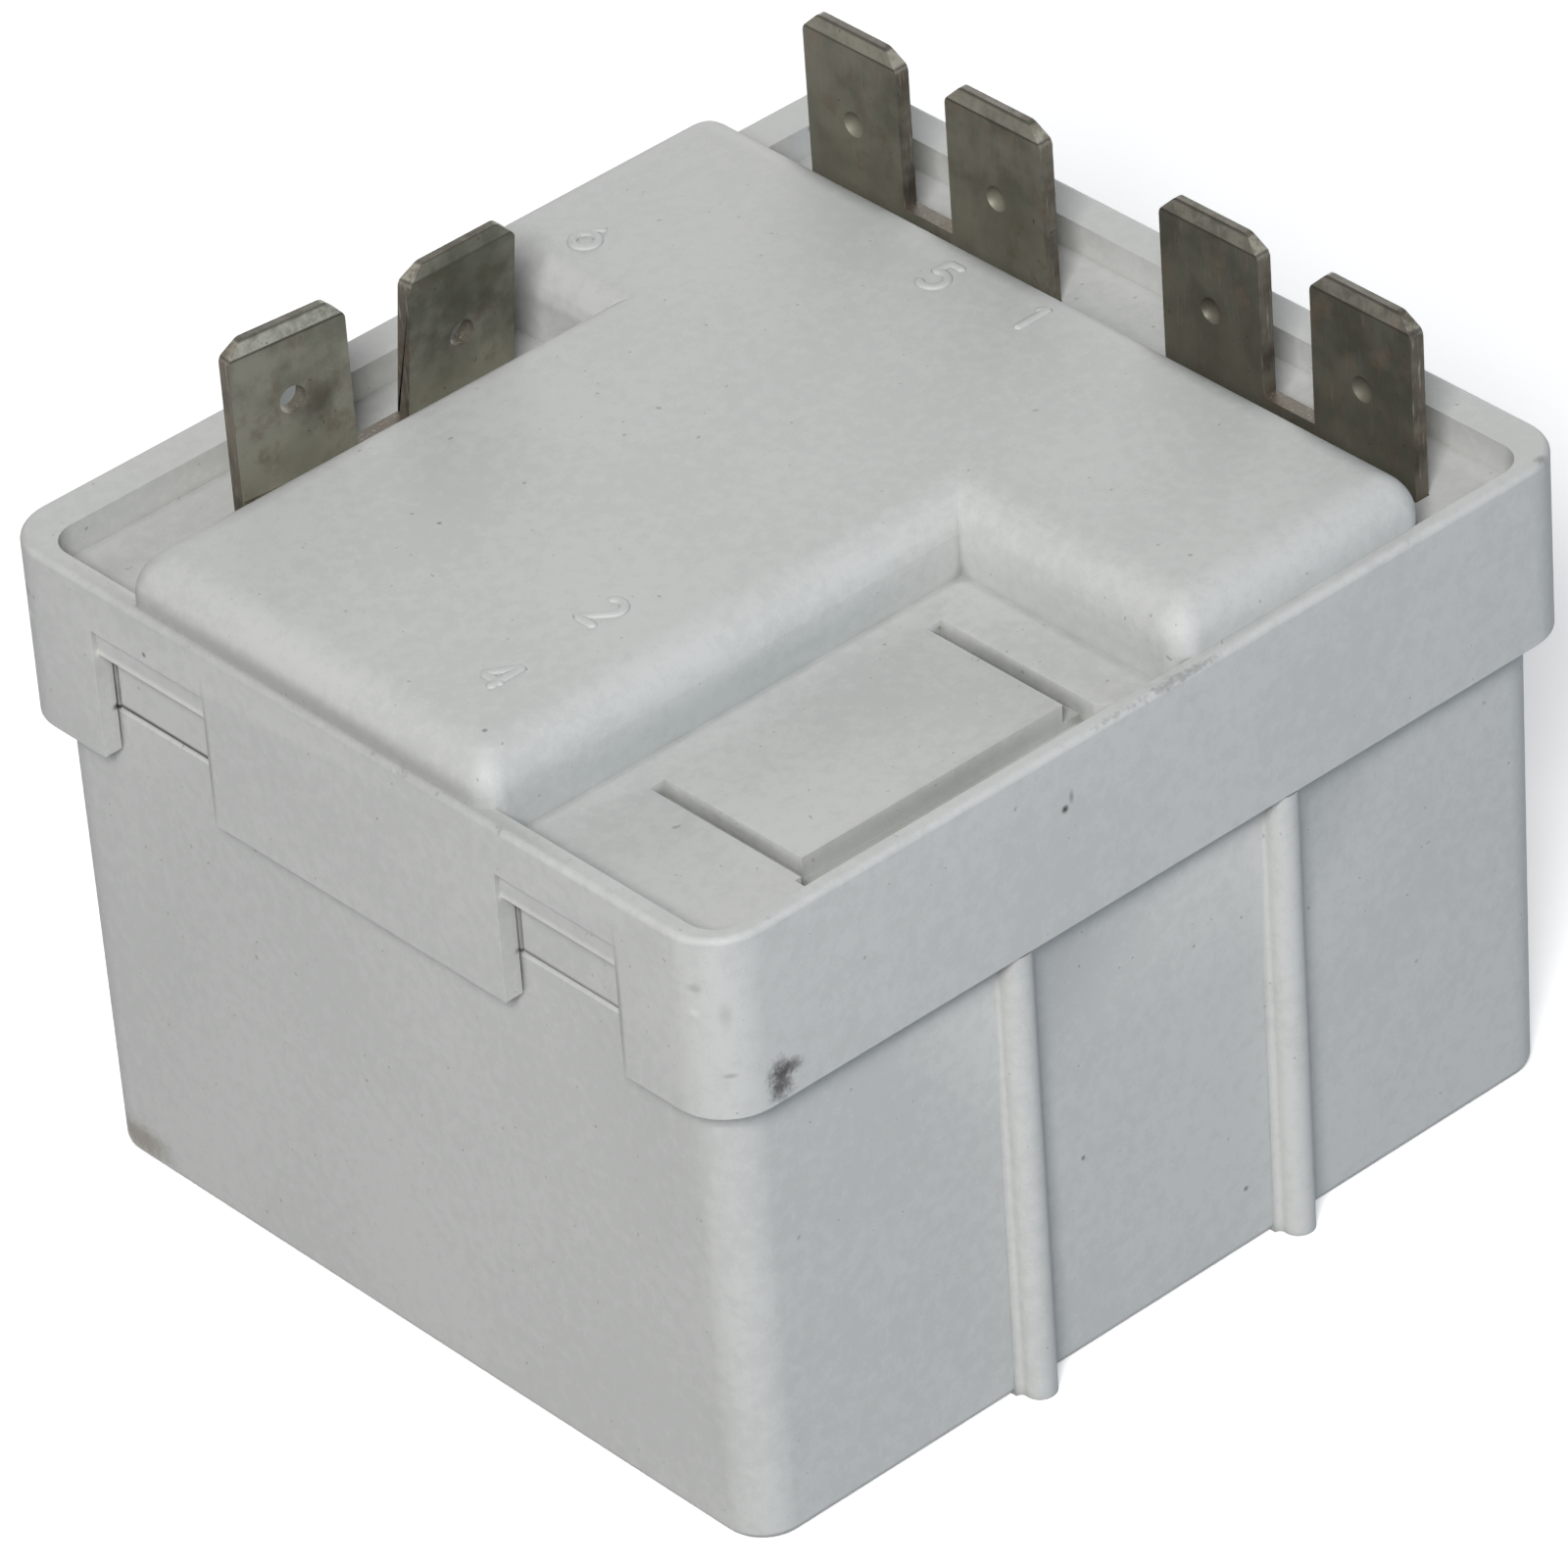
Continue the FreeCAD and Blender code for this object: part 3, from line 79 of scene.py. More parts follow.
class Board:
    """Places nodes in one tree and joins them."""

    def __init__(self, tree: Tree) -> None:
        """Starts on a tree.

        Args:
            tree: The tree that takes the nodes.
        """
        self.tree = tree

    def feed(self, socket: Socket, source: object) -> None:
        """Links a socket to its source, or sets a plain value.

        Args:
            socket: The input that is fed.
            source: Another node's output, or a number, colour or vector.
        """
        if isinstance(source, Socket):
            self.tree.links.new(source, socket)
        elif isinstance(source, tuple) and len(source) == 3 and socket.type == "RGBA":
            socket.default_value = (*source, 1.0)
        else:
            socket.default_value = source

    def add(self, kind: str, *sources: object, **settings: object) -> Node:
        """Adds a node and feeds its inputs in order.

        Args:
            kind: The node's Blender type, without the word ShaderNode.
            sources: What feeds each input in turn; None leaves an input as it is.
            settings: The node's own properties.

        Returns:
            The new node.
        """
        node = self.tree.nodes.new("ShaderNode" + kind)
        for name, setting in settings.items():
            setattr(node, name, setting)
        for socket, source in zip(node.inputs, sources):
            if source is not None:
                self.feed(socket, source)
        return node

    def math(self, operation: str, *sources: object) -> Socket:
        """Works out one number from others.

        Args:
            operation: The Math node's operation.
            sources: Its inputs in order.

        Returns:
            The result's socket.
        """
        return self.add("Math", *sources, operation=operation).outputs[0]

    def vector(self, operation: str, *sources: object) -> Socket:
        """Works out a vector, or a vector's length, from others.

        Args:
            operation: The Vector Math node's operation.
            sources: Its inputs in order.

        Returns:
            The result's socket.
        """
        node = self.add("VectorMath", *sources, operation=operation)
        return node.outputs["Value" if operation == "LENGTH" else "Vector"]

    def noise(self, place: object, scale: float, detail: float = 2.0, roughness: float = 0.5) -> Socket:
        """Adds fractal noise.

        Args:
            place: The vector that it reads.
            scale: Cells per unit of the vector.
            detail: Octaves.
            roughness: Weight of the finer octaves.

        Returns:
            The noise's value, about 0 to 1.
        """
        node = self.add("TexNoise", place)
        node.inputs["Scale"].default_value = scale
        node.inputs["Detail"].default_value = detail
        node.inputs["Roughness"].default_value = roughness
        return node.outputs[0]

    def streaks(self, place: object, scale: Place) -> Socket:
        """Adds fractal noise drawn out into streaks.

        Args:
            place: The vector that it reads.
            scale: Cells per unit along each axis.

        Returns:
            The noise's value, about 0 to 1.
        """
        lines = self.add("Mapping", place)
        lines.inputs["Scale"].default_value = scale
        return self.noise(lines.outputs["Vector"], 1.0, 3.0, 0.6)

    def ramp(
        self, source: object, low: float, high: float, bottom: float = 0.0, top: float = 1.0,
    ) -> Socket:
        """Maps a range of values smoothly onto another.

        Args:
            source: The value that is mapped.
            low: The value that becomes bottom.
            high: The value that becomes top.
            bottom: The lowest result.
            top: The highest result.

        Returns:
            The mapped value's socket.
        """
        node = self.add("MapRange", source, low, high, bottom, top, interpolation_type="SMOOTHSTEP")
        return node.outputs[0]

    def mix(self, factor: object, first: object, second: object) -> Socket:
        """Mixes two colours.

        Args:
            factor: Share of the second colour.
            first: The colour at 0.
            second: The colour at 1.

        Returns:
            The mixed colour's socket.
        """
        node = self.add("Mix", data_type="RGBA")
        self.feed(node.inputs["Factor"], factor)
        self.feed(node.inputs["A"], first)
        self.feed(node.inputs["B"], second)
        return node.outputs["Result"]

    def lay(self, tone: object, mask: object, share: float, colour: Colour) -> Socket:
        """Lays a colour over a tone.

        Args:
            tone: The tone below.
            mask: Where the colour lies, from 0 to 1.
            share: How much it covers there.
            colour: The colour on top.

        Returns:
            The covered tone's socket.
        """
        return self.mix(self.math("MULTIPLY", mask, share), tone, colour)

    def bump(self, shader: Node, height: object, strength: float, depth: float) -> None:
        """Gives a shader an uneven surface.

        Args:
            shader: The Principled shader that takes it.
            height: The surface's height.
            strength: How much of the unevenness is shaded.
            depth: What a height of 1 stands for, in millimetres.
        """
        bump = self.add("Bump")
        bump.inputs["Strength"].default_value = strength
        bump.inputs["Distance"].default_value = depth * MILLIMETRE
        self.feed(bump.inputs["Height"], height)
        self.feed(shader.inputs["Normal"], bump.outputs["Normal"])

    def group(self, tree: Tree, **sources: object) -> Node:
        """Places a shader group and feeds its inputs by name.

        Args:
            tree: The group's tree.
            sources: What feeds each input; an underscore in a name stands for a space.

        Returns:
            The group's node.
        """
        node = self.tree.nodes.new("ShaderNodeGroup")
        node.node_tree = tree
        for name, source in sources.items():
            self.feed(node.inputs[name.replace("_", " ")], source)
        return node


def new_group(
    name: str, inputs: dict[str, str], outputs: dict[str, str],
) -> tuple[Board, Node, Node]:
    """Makes an empty shader group with named sockets.

    Args:
        name: The group's name.
        inputs: Socket kinds by input name.
        outputs: Socket kinds by output name.

    Returns:
        The board on the group's tree, its input node and its output node.
    """
    tree = bpy.data.node_groups.new(name, "ShaderNodeTree")
    for side, sockets in (("INPUT", inputs), ("OUTPUT", outputs)):
        for label, kind in sockets.items():
            tree.interface.new_socket(label, in_out=side, socket_type="NodeSocket" + kind)
    return Board(tree), tree.nodes.new("NodeGroupInput"), tree.nodes.new("NodeGroupOutput")


def once(build: Callable[[], Tree]) -> Callable[[], Tree]:
    """Keeps a group's tree, so that it is built a single time.

    Args:
        build: The function that builds the tree.

    Returns:
        A function that gives the kept tree.
    """
    kept: list[Tree] = []

    def give() -> Tree:
        """Gives the tree, building it at the first call.

        Returns:
            The kept tree.
        """
        if not kept:
            kept.append(build())
        return kept[0]

    return give


@once
def millimetres() -> Tree:
    """Object coordinates in millimetres.

    Returns:
        The group's tree, with the output Place.
    """
    board, _, result = new_group("Millimetres", {}, {"Place": "Vector"})
    place = board.add("TexCoord").outputs["Object"]
    scaled = board.add("VectorMath", place, operation="SCALE")
    scaled.inputs["Scale"].default_value = 1.0 / MILLIMETRE
    board.feed(result.inputs["Place"], scaled.outputs["Vector"])
    return board.tree


@once
def dirt_and_light_patch() -> Tree:
    """A ragged patch, for dirt and for painted shade and highlight bands: 1 at its place, 0 beyond its radius,
    broken up by noise.

    The mask is a falloff of the distance to the place, measured after each axis is stretched and
    after the given noise has been added, times the strength. It is full within the core's share of the
    radius, and nothing past the outline's.

    Returns:
        The group's tree, with the output Mask.
    """
    outline, core = 1.05, 0.15
    numbers = ("Noise", "Radius", "Ragged", "Strength")
    inputs = dict.fromkeys(("Place", "Centre", "Stretch"), "Vector") | dict.fromkeys(numbers, "Float")
    board, given, result = new_group("Dirt And Light Patch", inputs, {"Mask": "Float"})
    offset = board.vector("SUBTRACT", given.outputs["Place"], given.outputs["Centre"])
    stretched = board.vector("MULTIPLY", offset, given.outputs["Stretch"])
    distance = board.math("DIVIDE", board.vector("LENGTH", stretched), given.outputs["Radius"])
    centred = board.math("SUBTRACT", given.outputs["Noise"], 0.5)
    broken = board.math("MULTIPLY", centred, given.outputs["Ragged"])
    inside = board.ramp(board.math("ADD", distance, broken), outline, core)
    board.feed(result.inputs["Mask"], board.math("MULTIPLY", inside, given.outputs["Strength"]))
    return board.tree


@once
def box_edges() -> Tree:
    """Nearness to the edges of an upright box: 1 on an edge, 0 beyond the width.

    The distance to the nearest edge is the least, over the pairs of faces, of the greater distance to
    the two faces.

    Returns:
        The group's tree, with the output Mask.
    """
    sizes = ("Half Length", "Half Width", "Top", "Width")
    inputs = {"Place": "Vector"} | dict.fromkeys(sizes, "Float")
    board, given, result = new_group("Box Edges", inputs, {"Mask": "Float"})
    axes = board.add("SeparateXYZ", given.outputs["Place"]).outputs
    lengthwise, widthwise = (board.math("ABSOLUTE", axes[axis]) for axis in "XY")
    side = board.math("ABSOLUTE", board.math("SUBTRACT", given.outputs["Half Length"], lengthwise))
    front = board.math("ABSOLUTE", board.math("SUBTRACT", given.outputs["Half Width"], widthwise))
    roof = board.math("ABSOLUTE", board.math("SUBTRACT", given.outputs["Top"], axes["Z"]))
    upright = board.math("MAXIMUM", side, front)
    level = board.math("MINIMUM", board.math("MAXIMUM", side, roof), board.math("MAXIMUM", front, roof))
    nearest = board.math("MINIMUM", upright, level)
    share = board.math("DIVIDE", nearest, given.outputs["Width"])
    board.feed(result.inputs["Mask"], board.ramp(share, 1.0, 0.0))
    return board.tree


@once
def mould_grain() -> Tree:
    """Moulded skin: a fine spark-eroded grain over faint waves, and the mottle that goes with it.

    The height is the grain's two noises, mixed by weight, plus the waves. The mottle is the same grain
    plus blotches and waves, each times its own weight.

    Returns:
        The group's tree, with the outputs Height and Mottle.
    """
    fine_weight, coarse_weight = 0.7, 0.3
    skin_mottle, blotch_mottle, wave_mottle = 0.35, 0.4, 0.25
    inputs = {"Place": "Vector", "Grain": "Float", "Waves": "Float"}
    board, given, result = new_group("Mould Grain", inputs, {"Height": "Float", "Mottle": "Float"})
    place = given.outputs["Place"]
    fine = board.math("MULTIPLY", board.noise(place, 9.0, 3.0, 0.65), fine_weight)
    coarse = board.math("MULTIPLY", board.noise(place, 2.6, 2.0, 0.5), coarse_weight)
    wave = board.noise(place, 0.11, 1.0, 0.4)
    skin = board.math("ADD", fine, coarse)
    grain = board.math("MULTIPLY", skin, given.outputs["Grain"])
    waves = board.math("MULTIPLY", wave, given.outputs["Waves"])
    board.feed(result.inputs["Height"], board.math("ADD", grain, waves))
    blotch = board.math("MULTIPLY", board.noise(place, 1.4, 3.0, 0.6), blotch_mottle)
    uneven = board.math("ADD", blotch, board.math("MULTIPLY", wave, wave_mottle))
    mottle = board.math("ADD", board.math("MULTIPLY", skin, skin_mottle), uneven)
    board.feed(result.inputs["Mottle"], mottle)
    return board.tree


@once
def crease_shade_and_dust() -> Tree:
    """Painted shade in inner corners, with some dirt: darker by the share of the sky that near walls hide,
    broken up by noise.

    Returns:
        The group's tree, with the output Mask.
    """
    open_corner, closed_corner = 0.72, 0.3
    board, given, result = new_group("Crease Shade And Dust", {"Place": "Vector", "Reach": "Float"}, {"Mask": "Float"})
    hidden = board.add("AmbientOcclusion", samples=6)
    board.feed(hidden.inputs["Distance"], given.outputs["Reach"])
    corner = board.ramp(hidden.outputs["AO"], open_corner, closed_corner)
    patches = board.ramp(board.noise(given.outputs["Place"], 0.7, 4.0, 0.65), 0.3, 0.7, 0.35, 1.0)
    board.feed(result.inputs["Mask"], board.math("MULTIPLY", corner, patches))
    return board.tree


def blank_material(name: str) -> tuple[Material, Board, Node, Socket]:
    """Starts a node material.

    Args:
        name: The material's name.

    Returns:
        The material, the board on its tree, its Principled shader and the place in millimetres.
    """
    material = bpy.data.materials.new(name)
    material.use_nodes = True
    material.node_tree.nodes.clear()
    board = Board(material.node_tree)
    shader = board.add("BsdfPrincipled")
    result = board.add("OutputMaterial")
    board.feed(result.inputs["Surface"], shader.outputs["BSDF"])
    place = board.group(millimetres()).outputs["Place"]
    return material, board, shader, place


@dataclass(frozen=True)
class DirtAndPaintedLight:
    """One spot of dirt, or one band of painted shade or highlight, in millimetres. It reaches its radius
    divided by the stretch along each axis.
    """

    centre: Place
    radius: float
    strength: float = 0.7
    ragged: float = 0.8
    stretch: Place = (1.0, 1.0, 1.0)
    colour: Colour = (0.035, 0.03, 0.028)


def painted_light_band(centre: Place, reach: Place, strength: float, ragged: float, colour: Colour) -> DirtAndPaintedLight:
    """A band of painted shade or highlight along a straight edge or step.

    Args:
        centre: The band's middle, in millimetres.
        reach: How far it spreads from there along each axis, in millimetres.
        strength: The band's share at the middle.
        ragged: How much noise breaks its outline.
        colour: The band's colour.

    Returns:
        The band.
    """
    return DirtAndPaintedLight(centre, 1.0, strength, ragged, tuple(1.0 / extent for extent in reach), colour)


def lay_dirt_and_painted_light(board: Board, place: object, noise: object, tone: object, spots: tuple[DirtAndPaintedLight, ...]) -> object:
    """Lays each spot of dirt and each band of painted shade or highlight over a tone.

    Args:
        board: The board that takes the nodes.
        place: The place in millimetres.
        noise: What breaks the spots' outlines.
        tone: The clean tone.
        spots: The spots and bands.

    Returns:
        The tone with the spots and bands laid over it.
    """
    for spot in spots:
        mask = board.group(
            dirt_and_light_patch(), Place=place, Noise=noise, Centre=spot.centre, Stretch=spot.stretch,
            Radius=spot.radius, Ragged=spot.ragged, Strength=spot.strength,
        ).outputs["Mask"]
        tone = board.mix(mask, tone, spot.colour)
    return tone


@dataclass(frozen=True)
class MouldedPlastic:
    """Matt light grey plastic with handling dirt, painted shade and highlight bands, painted shade with some
    dirt in creases, and edges lightened by wear and a painted highlight.
    """

    name: str
    half_length: float
    half_width: float
    top: float
    colour: Colour = (0.486, 0.492, 0.48)
    pale: Colour = (0.532, 0.537, 0.524)
    rubbed_highlight: Colour = (0.64, 0.65, 0.64)
    dust_and_shade: Colour = (0.15, 0.152, 0.138)
    roughness: float = 0.62
    refraction: float = 1.48
    grain: float = 0.9
    waves: float = 2.0
    edge_reach: float = 0.45
    rubbed_highlight_share: float = 0.2
    chipped_share: float = 0.5
    crease_reach: float = 0.9
    crease_shade_share: float = 0.75
    speck_share: float = 0.45
    bump_strength: float = 0.33
    bump_depth: float = 0.03
    spots: tuple[DirtAndPaintedLight, ...] = ()

    def build(self) -> Material:
        """Builds the material.

        Returns:
            The finished material.
        """
        material, board, shader, place = blank_material(self.name)
        skin = board.group(mould_grain(), Place=place, Grain=self.grain, Waves=self.waves).outputs
        tone = board.mix(board.ramp(skin["Mottle"], 0.43, 0.57), self.colour, self.pale)
        edge = board.group(
            box_edges(), Place=place, Half_Length=self.half_length, Half_Width=self.half_width,
            Top=self.top, Width=self.edge_reach,
        ).outputs["Mask"]
        patches = board.noise(place, 0.9, 4.0, 0.7)
        # Edges lightened in patches: wear and a painted highlight
        rubbed_highlight = board.math("MULTIPLY", edge, board.ramp(patches, 0.45, 0.6))
        tone = board.lay(tone, rubbed_highlight, self.rubbed_highlight_share, self.rubbed_highlight)
        chipped = board.math("MULTIPLY", edge, board.ramp(patches, 0.37, 0.31))
        tone = board.lay(tone, chipped, self.chipped_share, self.dust_and_shade)
        # Inner corners darkened by occlusion: painted shade, with some dirt
        held_shade_and_dust = board.group(crease_shade_and_dust(), Place=place, Reach=self.crease_reach * MILLIMETRE).outputs["Mask"]
        tone = board.lay(tone, held_shade_and_dust, self.crease_shade_share, self.dust_and_shade)
        specks = board.ramp(board.noise(place, 2.3, 1.0, 0.5), 0.765, 0.79)
        tone = board.lay(tone, specks, self.speck_share, self.dust_and_shade)
        tone = lay_dirt_and_painted_light(board, place, board.noise(place, 2.2, 4.0, 0.7), tone, self.spots)
        board.feed(shader.inputs["Base Color"], tone)
        rough = board.ramp(skin["Mottle"], 0.3, 0.7, self.roughness - 0.06, self.roughness + 0.08)
        board.feed(shader.inputs["Roughness"], rough)
        shader.inputs["IOR"].default_value = self.refraction
        board.bump(shader, skin["Height"], self.bump_strength, self.bump_depth)
        return material


@dataclass(frozen=True)
class TarnishedBlade:
    """Tin plate gone dark: cloudy, stained brown, its tip's bevel brightened by wear from a connector and a
    painted highlight.

    Lengths are in millimetres. The blades pale from tip_height below their tips down to their foot.
    """

    name: str
    colour: Colour
    pale: Colour
    stain: Colour = (0.15, 0.105, 0.075)
    blackish: Colour = (0.035, 0.03, 0.022)
    bright: Colour = (0.42, 0.40, 0.34)
    bright_share: float = 0.12
    foot_share: float = 0.6
    wear_and_highlight_share: float = 0.6
    tip: float = 42.0
    bevel: float = 0.75
    foot: float = 34.0
    metallic: float = 0.5
    roughness: float = 0.46
    tip_height: float = 2.0
    foot_paleness: float = 1.6
    stain_share: float = 0.5
    line_share: float = 0.7
    pit_share: float = 0.6
    streaking: Place = (7.0, 7.0, 0.6)
    bump_strength: float = 0.3
    bump_depth: float = 0.02
    spots: tuple[DirtAndPaintedLight, ...] = ()

    def build(self) -> Material:
        """Builds the material.

        Returns:
            The finished material.
        """
        material, board, shader, place = blank_material(self.name)
        height = board.add("SeparateXYZ", place).outputs["Z"]
        cloud = board.noise(place, 0.38, 5.0, 0.6)
        streak = board.streaks(place, self.streaking)
        tone = board.mix(board.ramp(cloud, 0.34, 0.64), self.colour, self.pale)
        low = board.ramp(height, self.tip - self.tip_height, self.foot)
        paler = tuple(self.foot_paleness * share for share in self.pale)
        tone = board.lay(tone, low, self.foot_share, paler)
        stained = board.ramp(board.noise(place, 0.6, 5.0, 0.65), 0.5, 0.68)
        tone = board.lay(tone, stained, self.stain_share, self.stain)
        tone = board.lay(tone, board.ramp(streak, 0.55, 0.8), self.bright_share, self.bright)
        # Painted highlight, with wear, on the tip's bevel
        tone = board.mix(self.bevel_wear_and_highlight(board, place, height), tone, self.bright)
        tone = board.lay(tone, self.lined(board, height, cloud), self.line_share, self.blackish)
        pits = board.ramp(board.noise(place, 2.6, 2.0, 0.6), 0.70, 0.74)
        tone = board.lay(tone, pits, self.pit_share, self.blackish)
        tone = lay_dirt_and_painted_light(board, place, cloud, tone, self.spots)
        board.feed(shader.inputs["Base Color"], tone)
        shader.inputs["Metallic"].default_value = self.metallic
        rough = board.ramp(cloud, 0.3, 0.7, self.roughness, self.roughness + 0.2)
        board.feed(shader.inputs["Roughness"], rough)
        board.bump(shader, board.math("ADD", streak, cloud), self.bump_strength, self.bump_depth)
        return material

    def bevel_wear_and_highlight(self, board: Board, place: object, height: object) -> Socket:
        """Works out where the tip's bevel is brightened by wear and a painted highlight: where the surface
        slopes, in patches.

        Args:
            board: The board that takes the nodes.
            place: The place in millimetres.
            height: The place's height.

        Returns:
            The mask's socket.
        """
        normal = board.add("NewGeometry").outputs["True Normal"]
        sloping = board.ramp(board.add("SeparateXYZ", normal).outputs["Z"], 0.1, 0.2)
        start = self.tip - self.bevel
        bevel = board.math("MULTIPLY", sloping, board.ramp(height, start - 0.3, start))
        patches = board.ramp(board.noise(place, 1.3, 4.0, 0.7), 0.35, 0.6, 0.1, self.wear_and_highlight_share)
        return board.math("MULTIPLY", bevel, patches)

    def lined(self, board: Board, height: object, cloud: object) -> Socket:
        """Works out where the tone is darkened: in a wavy line below the tip's bevel, and on the very top.

        Args:
            board: The board that takes the nodes.
            height: The place's height in millimetres.
            cloud: The noise that makes the line wavy.

        Returns:
            The mask's socket.
        """
        line_height = self.tip - self.bevel - 0.06
        away = board.math("ABSOLUTE", board.math("SUBTRACT", height, line_height))
        line = board.ramp(board.math("ADD", away, board.math("MULTIPLY", cloud, 0.1)), 0.16, 0.06)
        crown = board.ramp(height, self.tip - 0.2, self.tip - 0.08)
        return board.math("MAXIMUM", line, crown)


@dataclass(frozen=True)
class PlainMetal:
    """A clean metal with fine brushing along one axis and slight stains."""

    name: str
    colour: Colour
    stain: Colour
    roughness: float = 0.35
    brushing: Place = (0.4, 8.0, 8.0)
    bump_strength: float = 0.25
    bump_depth: float = 0.01

    def build(self) -> Material:
        """Builds the material.

        Returns:
            The finished material.
        """
        material, board, shader, place = blank_material(self.name)
        streak = board.streaks(place, self.brushing)
        cloud = board.ramp(board.noise(place, 0.4, 3.0, 0.6), 0.4, 0.7)
        board.feed(shader.inputs["Base Color"], board.mix(cloud, self.colour, self.stain))
        shader.inputs["Metallic"].default_value = 1.0
        rough = board.ramp(streak, 0.3, 0.7, self.roughness - 0.08, self.roughness + 0.1)
        board.feed(shader.inputs["Roughness"], rough)
        board.bump(shader, streak, self.bump_strength, self.bump_depth)
        return material


@dataclass(frozen=True)
class CoilLayers:
    """Enamelled copper turns, or the tape round them, as fine rings along X."""

    name: str
    colour: Colour
    dark: Colour
    pitch: float
    metallic: float
    roughness: float
    bump_strength: float = 0.6
    bump_share: float = 0.5

    def build(self) -> Material:
        """Builds the material.

        Returns:
            The finished material.
        """
        material, board, shader, place = blank_material(self.name)
        along = board.add("SeparateXYZ", place).outputs["X"]
        phase = board.math("MULTIPLY", along, math.pi / self.pitch)
        turns = board.math("ABSOLUTE", board.math("SINE", phase))
        uneven = board.noise(place, 0.8, 3.0, 0.6)
        shade = board.math("MULTIPLY", turns, board.ramp(uneven, 0.2, 0.8, 0.7, 1.0))
        board.feed(shader.inputs["Base Color"], board.mix(shade, self.dark, self.colour))
        shader.inputs["Metallic"].default_value = self.metallic
        rough = board.ramp(uneven, 0.3, 0.7, self.roughness, self.roughness + 0.15)
        board.feed(shader.inputs["Roughness"], rough)
        board.bump(shader, turns, self.bump_strength, self.bump_share * self.pitch)
        return material


def dress_node(node: Object, material: Material) -> None:
    """Gives a CAD node its material in every slot.

    Args:
        node: The CAD node's object.
        material: The material that it takes.
    """
    if not node.material_slots:
        node.data.materials.append(material)
    for slot in node.material_slots:
        slot.material = material


@dataclass(frozen=True)
class Rounding:
    """How sharp edges are rounded, as a mould or a press leaves them, in millimetres and degrees."""

    width: float
    segments: int = 3
    weld: float = 0.0005
    flat_angle: float = 0.4
    sharp_angle: float = 32.0

    def copy(self, node: Object, name: str, material: Material) -> Object:
        """Copies a CAD node's mesh, merges its loose triangles and rounds its sharp edges.

        Args:
            node: The CAD node's object.
            name: The new piece's name.
            material: The material that it takes.

        Returns:
            The new piece.
        """
        sharp, flat = math.radians(self.sharp_angle), math.radians(self.flat_angle)
        mesh = node.data.copy()
        mesh.name = name
        form = bmesh.new()
        form.from_mesh(mesh)
        bmesh.ops.remove_doubles(form, verts=form.verts, dist=self.weld * MILLIMETRE)
        bmesh.ops.dissolve_limit(form, angle_limit=flat, verts=form.verts, edges=form.edges)
        form.to_mesh(mesh)
        form.free()
        mesh.materials.clear()
        mesh.materials.append(material)
        mesh.polygons.foreach_set("use_smooth", np.ones(len(mesh.polygons), bool))
        mesh.set_sharp_from_angle(angle=sharp)
        piece = bpy.data.objects.new(name, mesh)
        bpy.context.collection.objects.link(piece)
        bevel = piece.modifiers.new("Rounded edges", "BEVEL")
        bevel.width = self.width * MILLIMETRE
        bevel.segments = self.segments
        bevel.limit_method = "ANGLE"
        bevel.angle_limit = sharp
        bevel.use_clamp_overlap = True
        bevel.harden_normals = True
        return piece


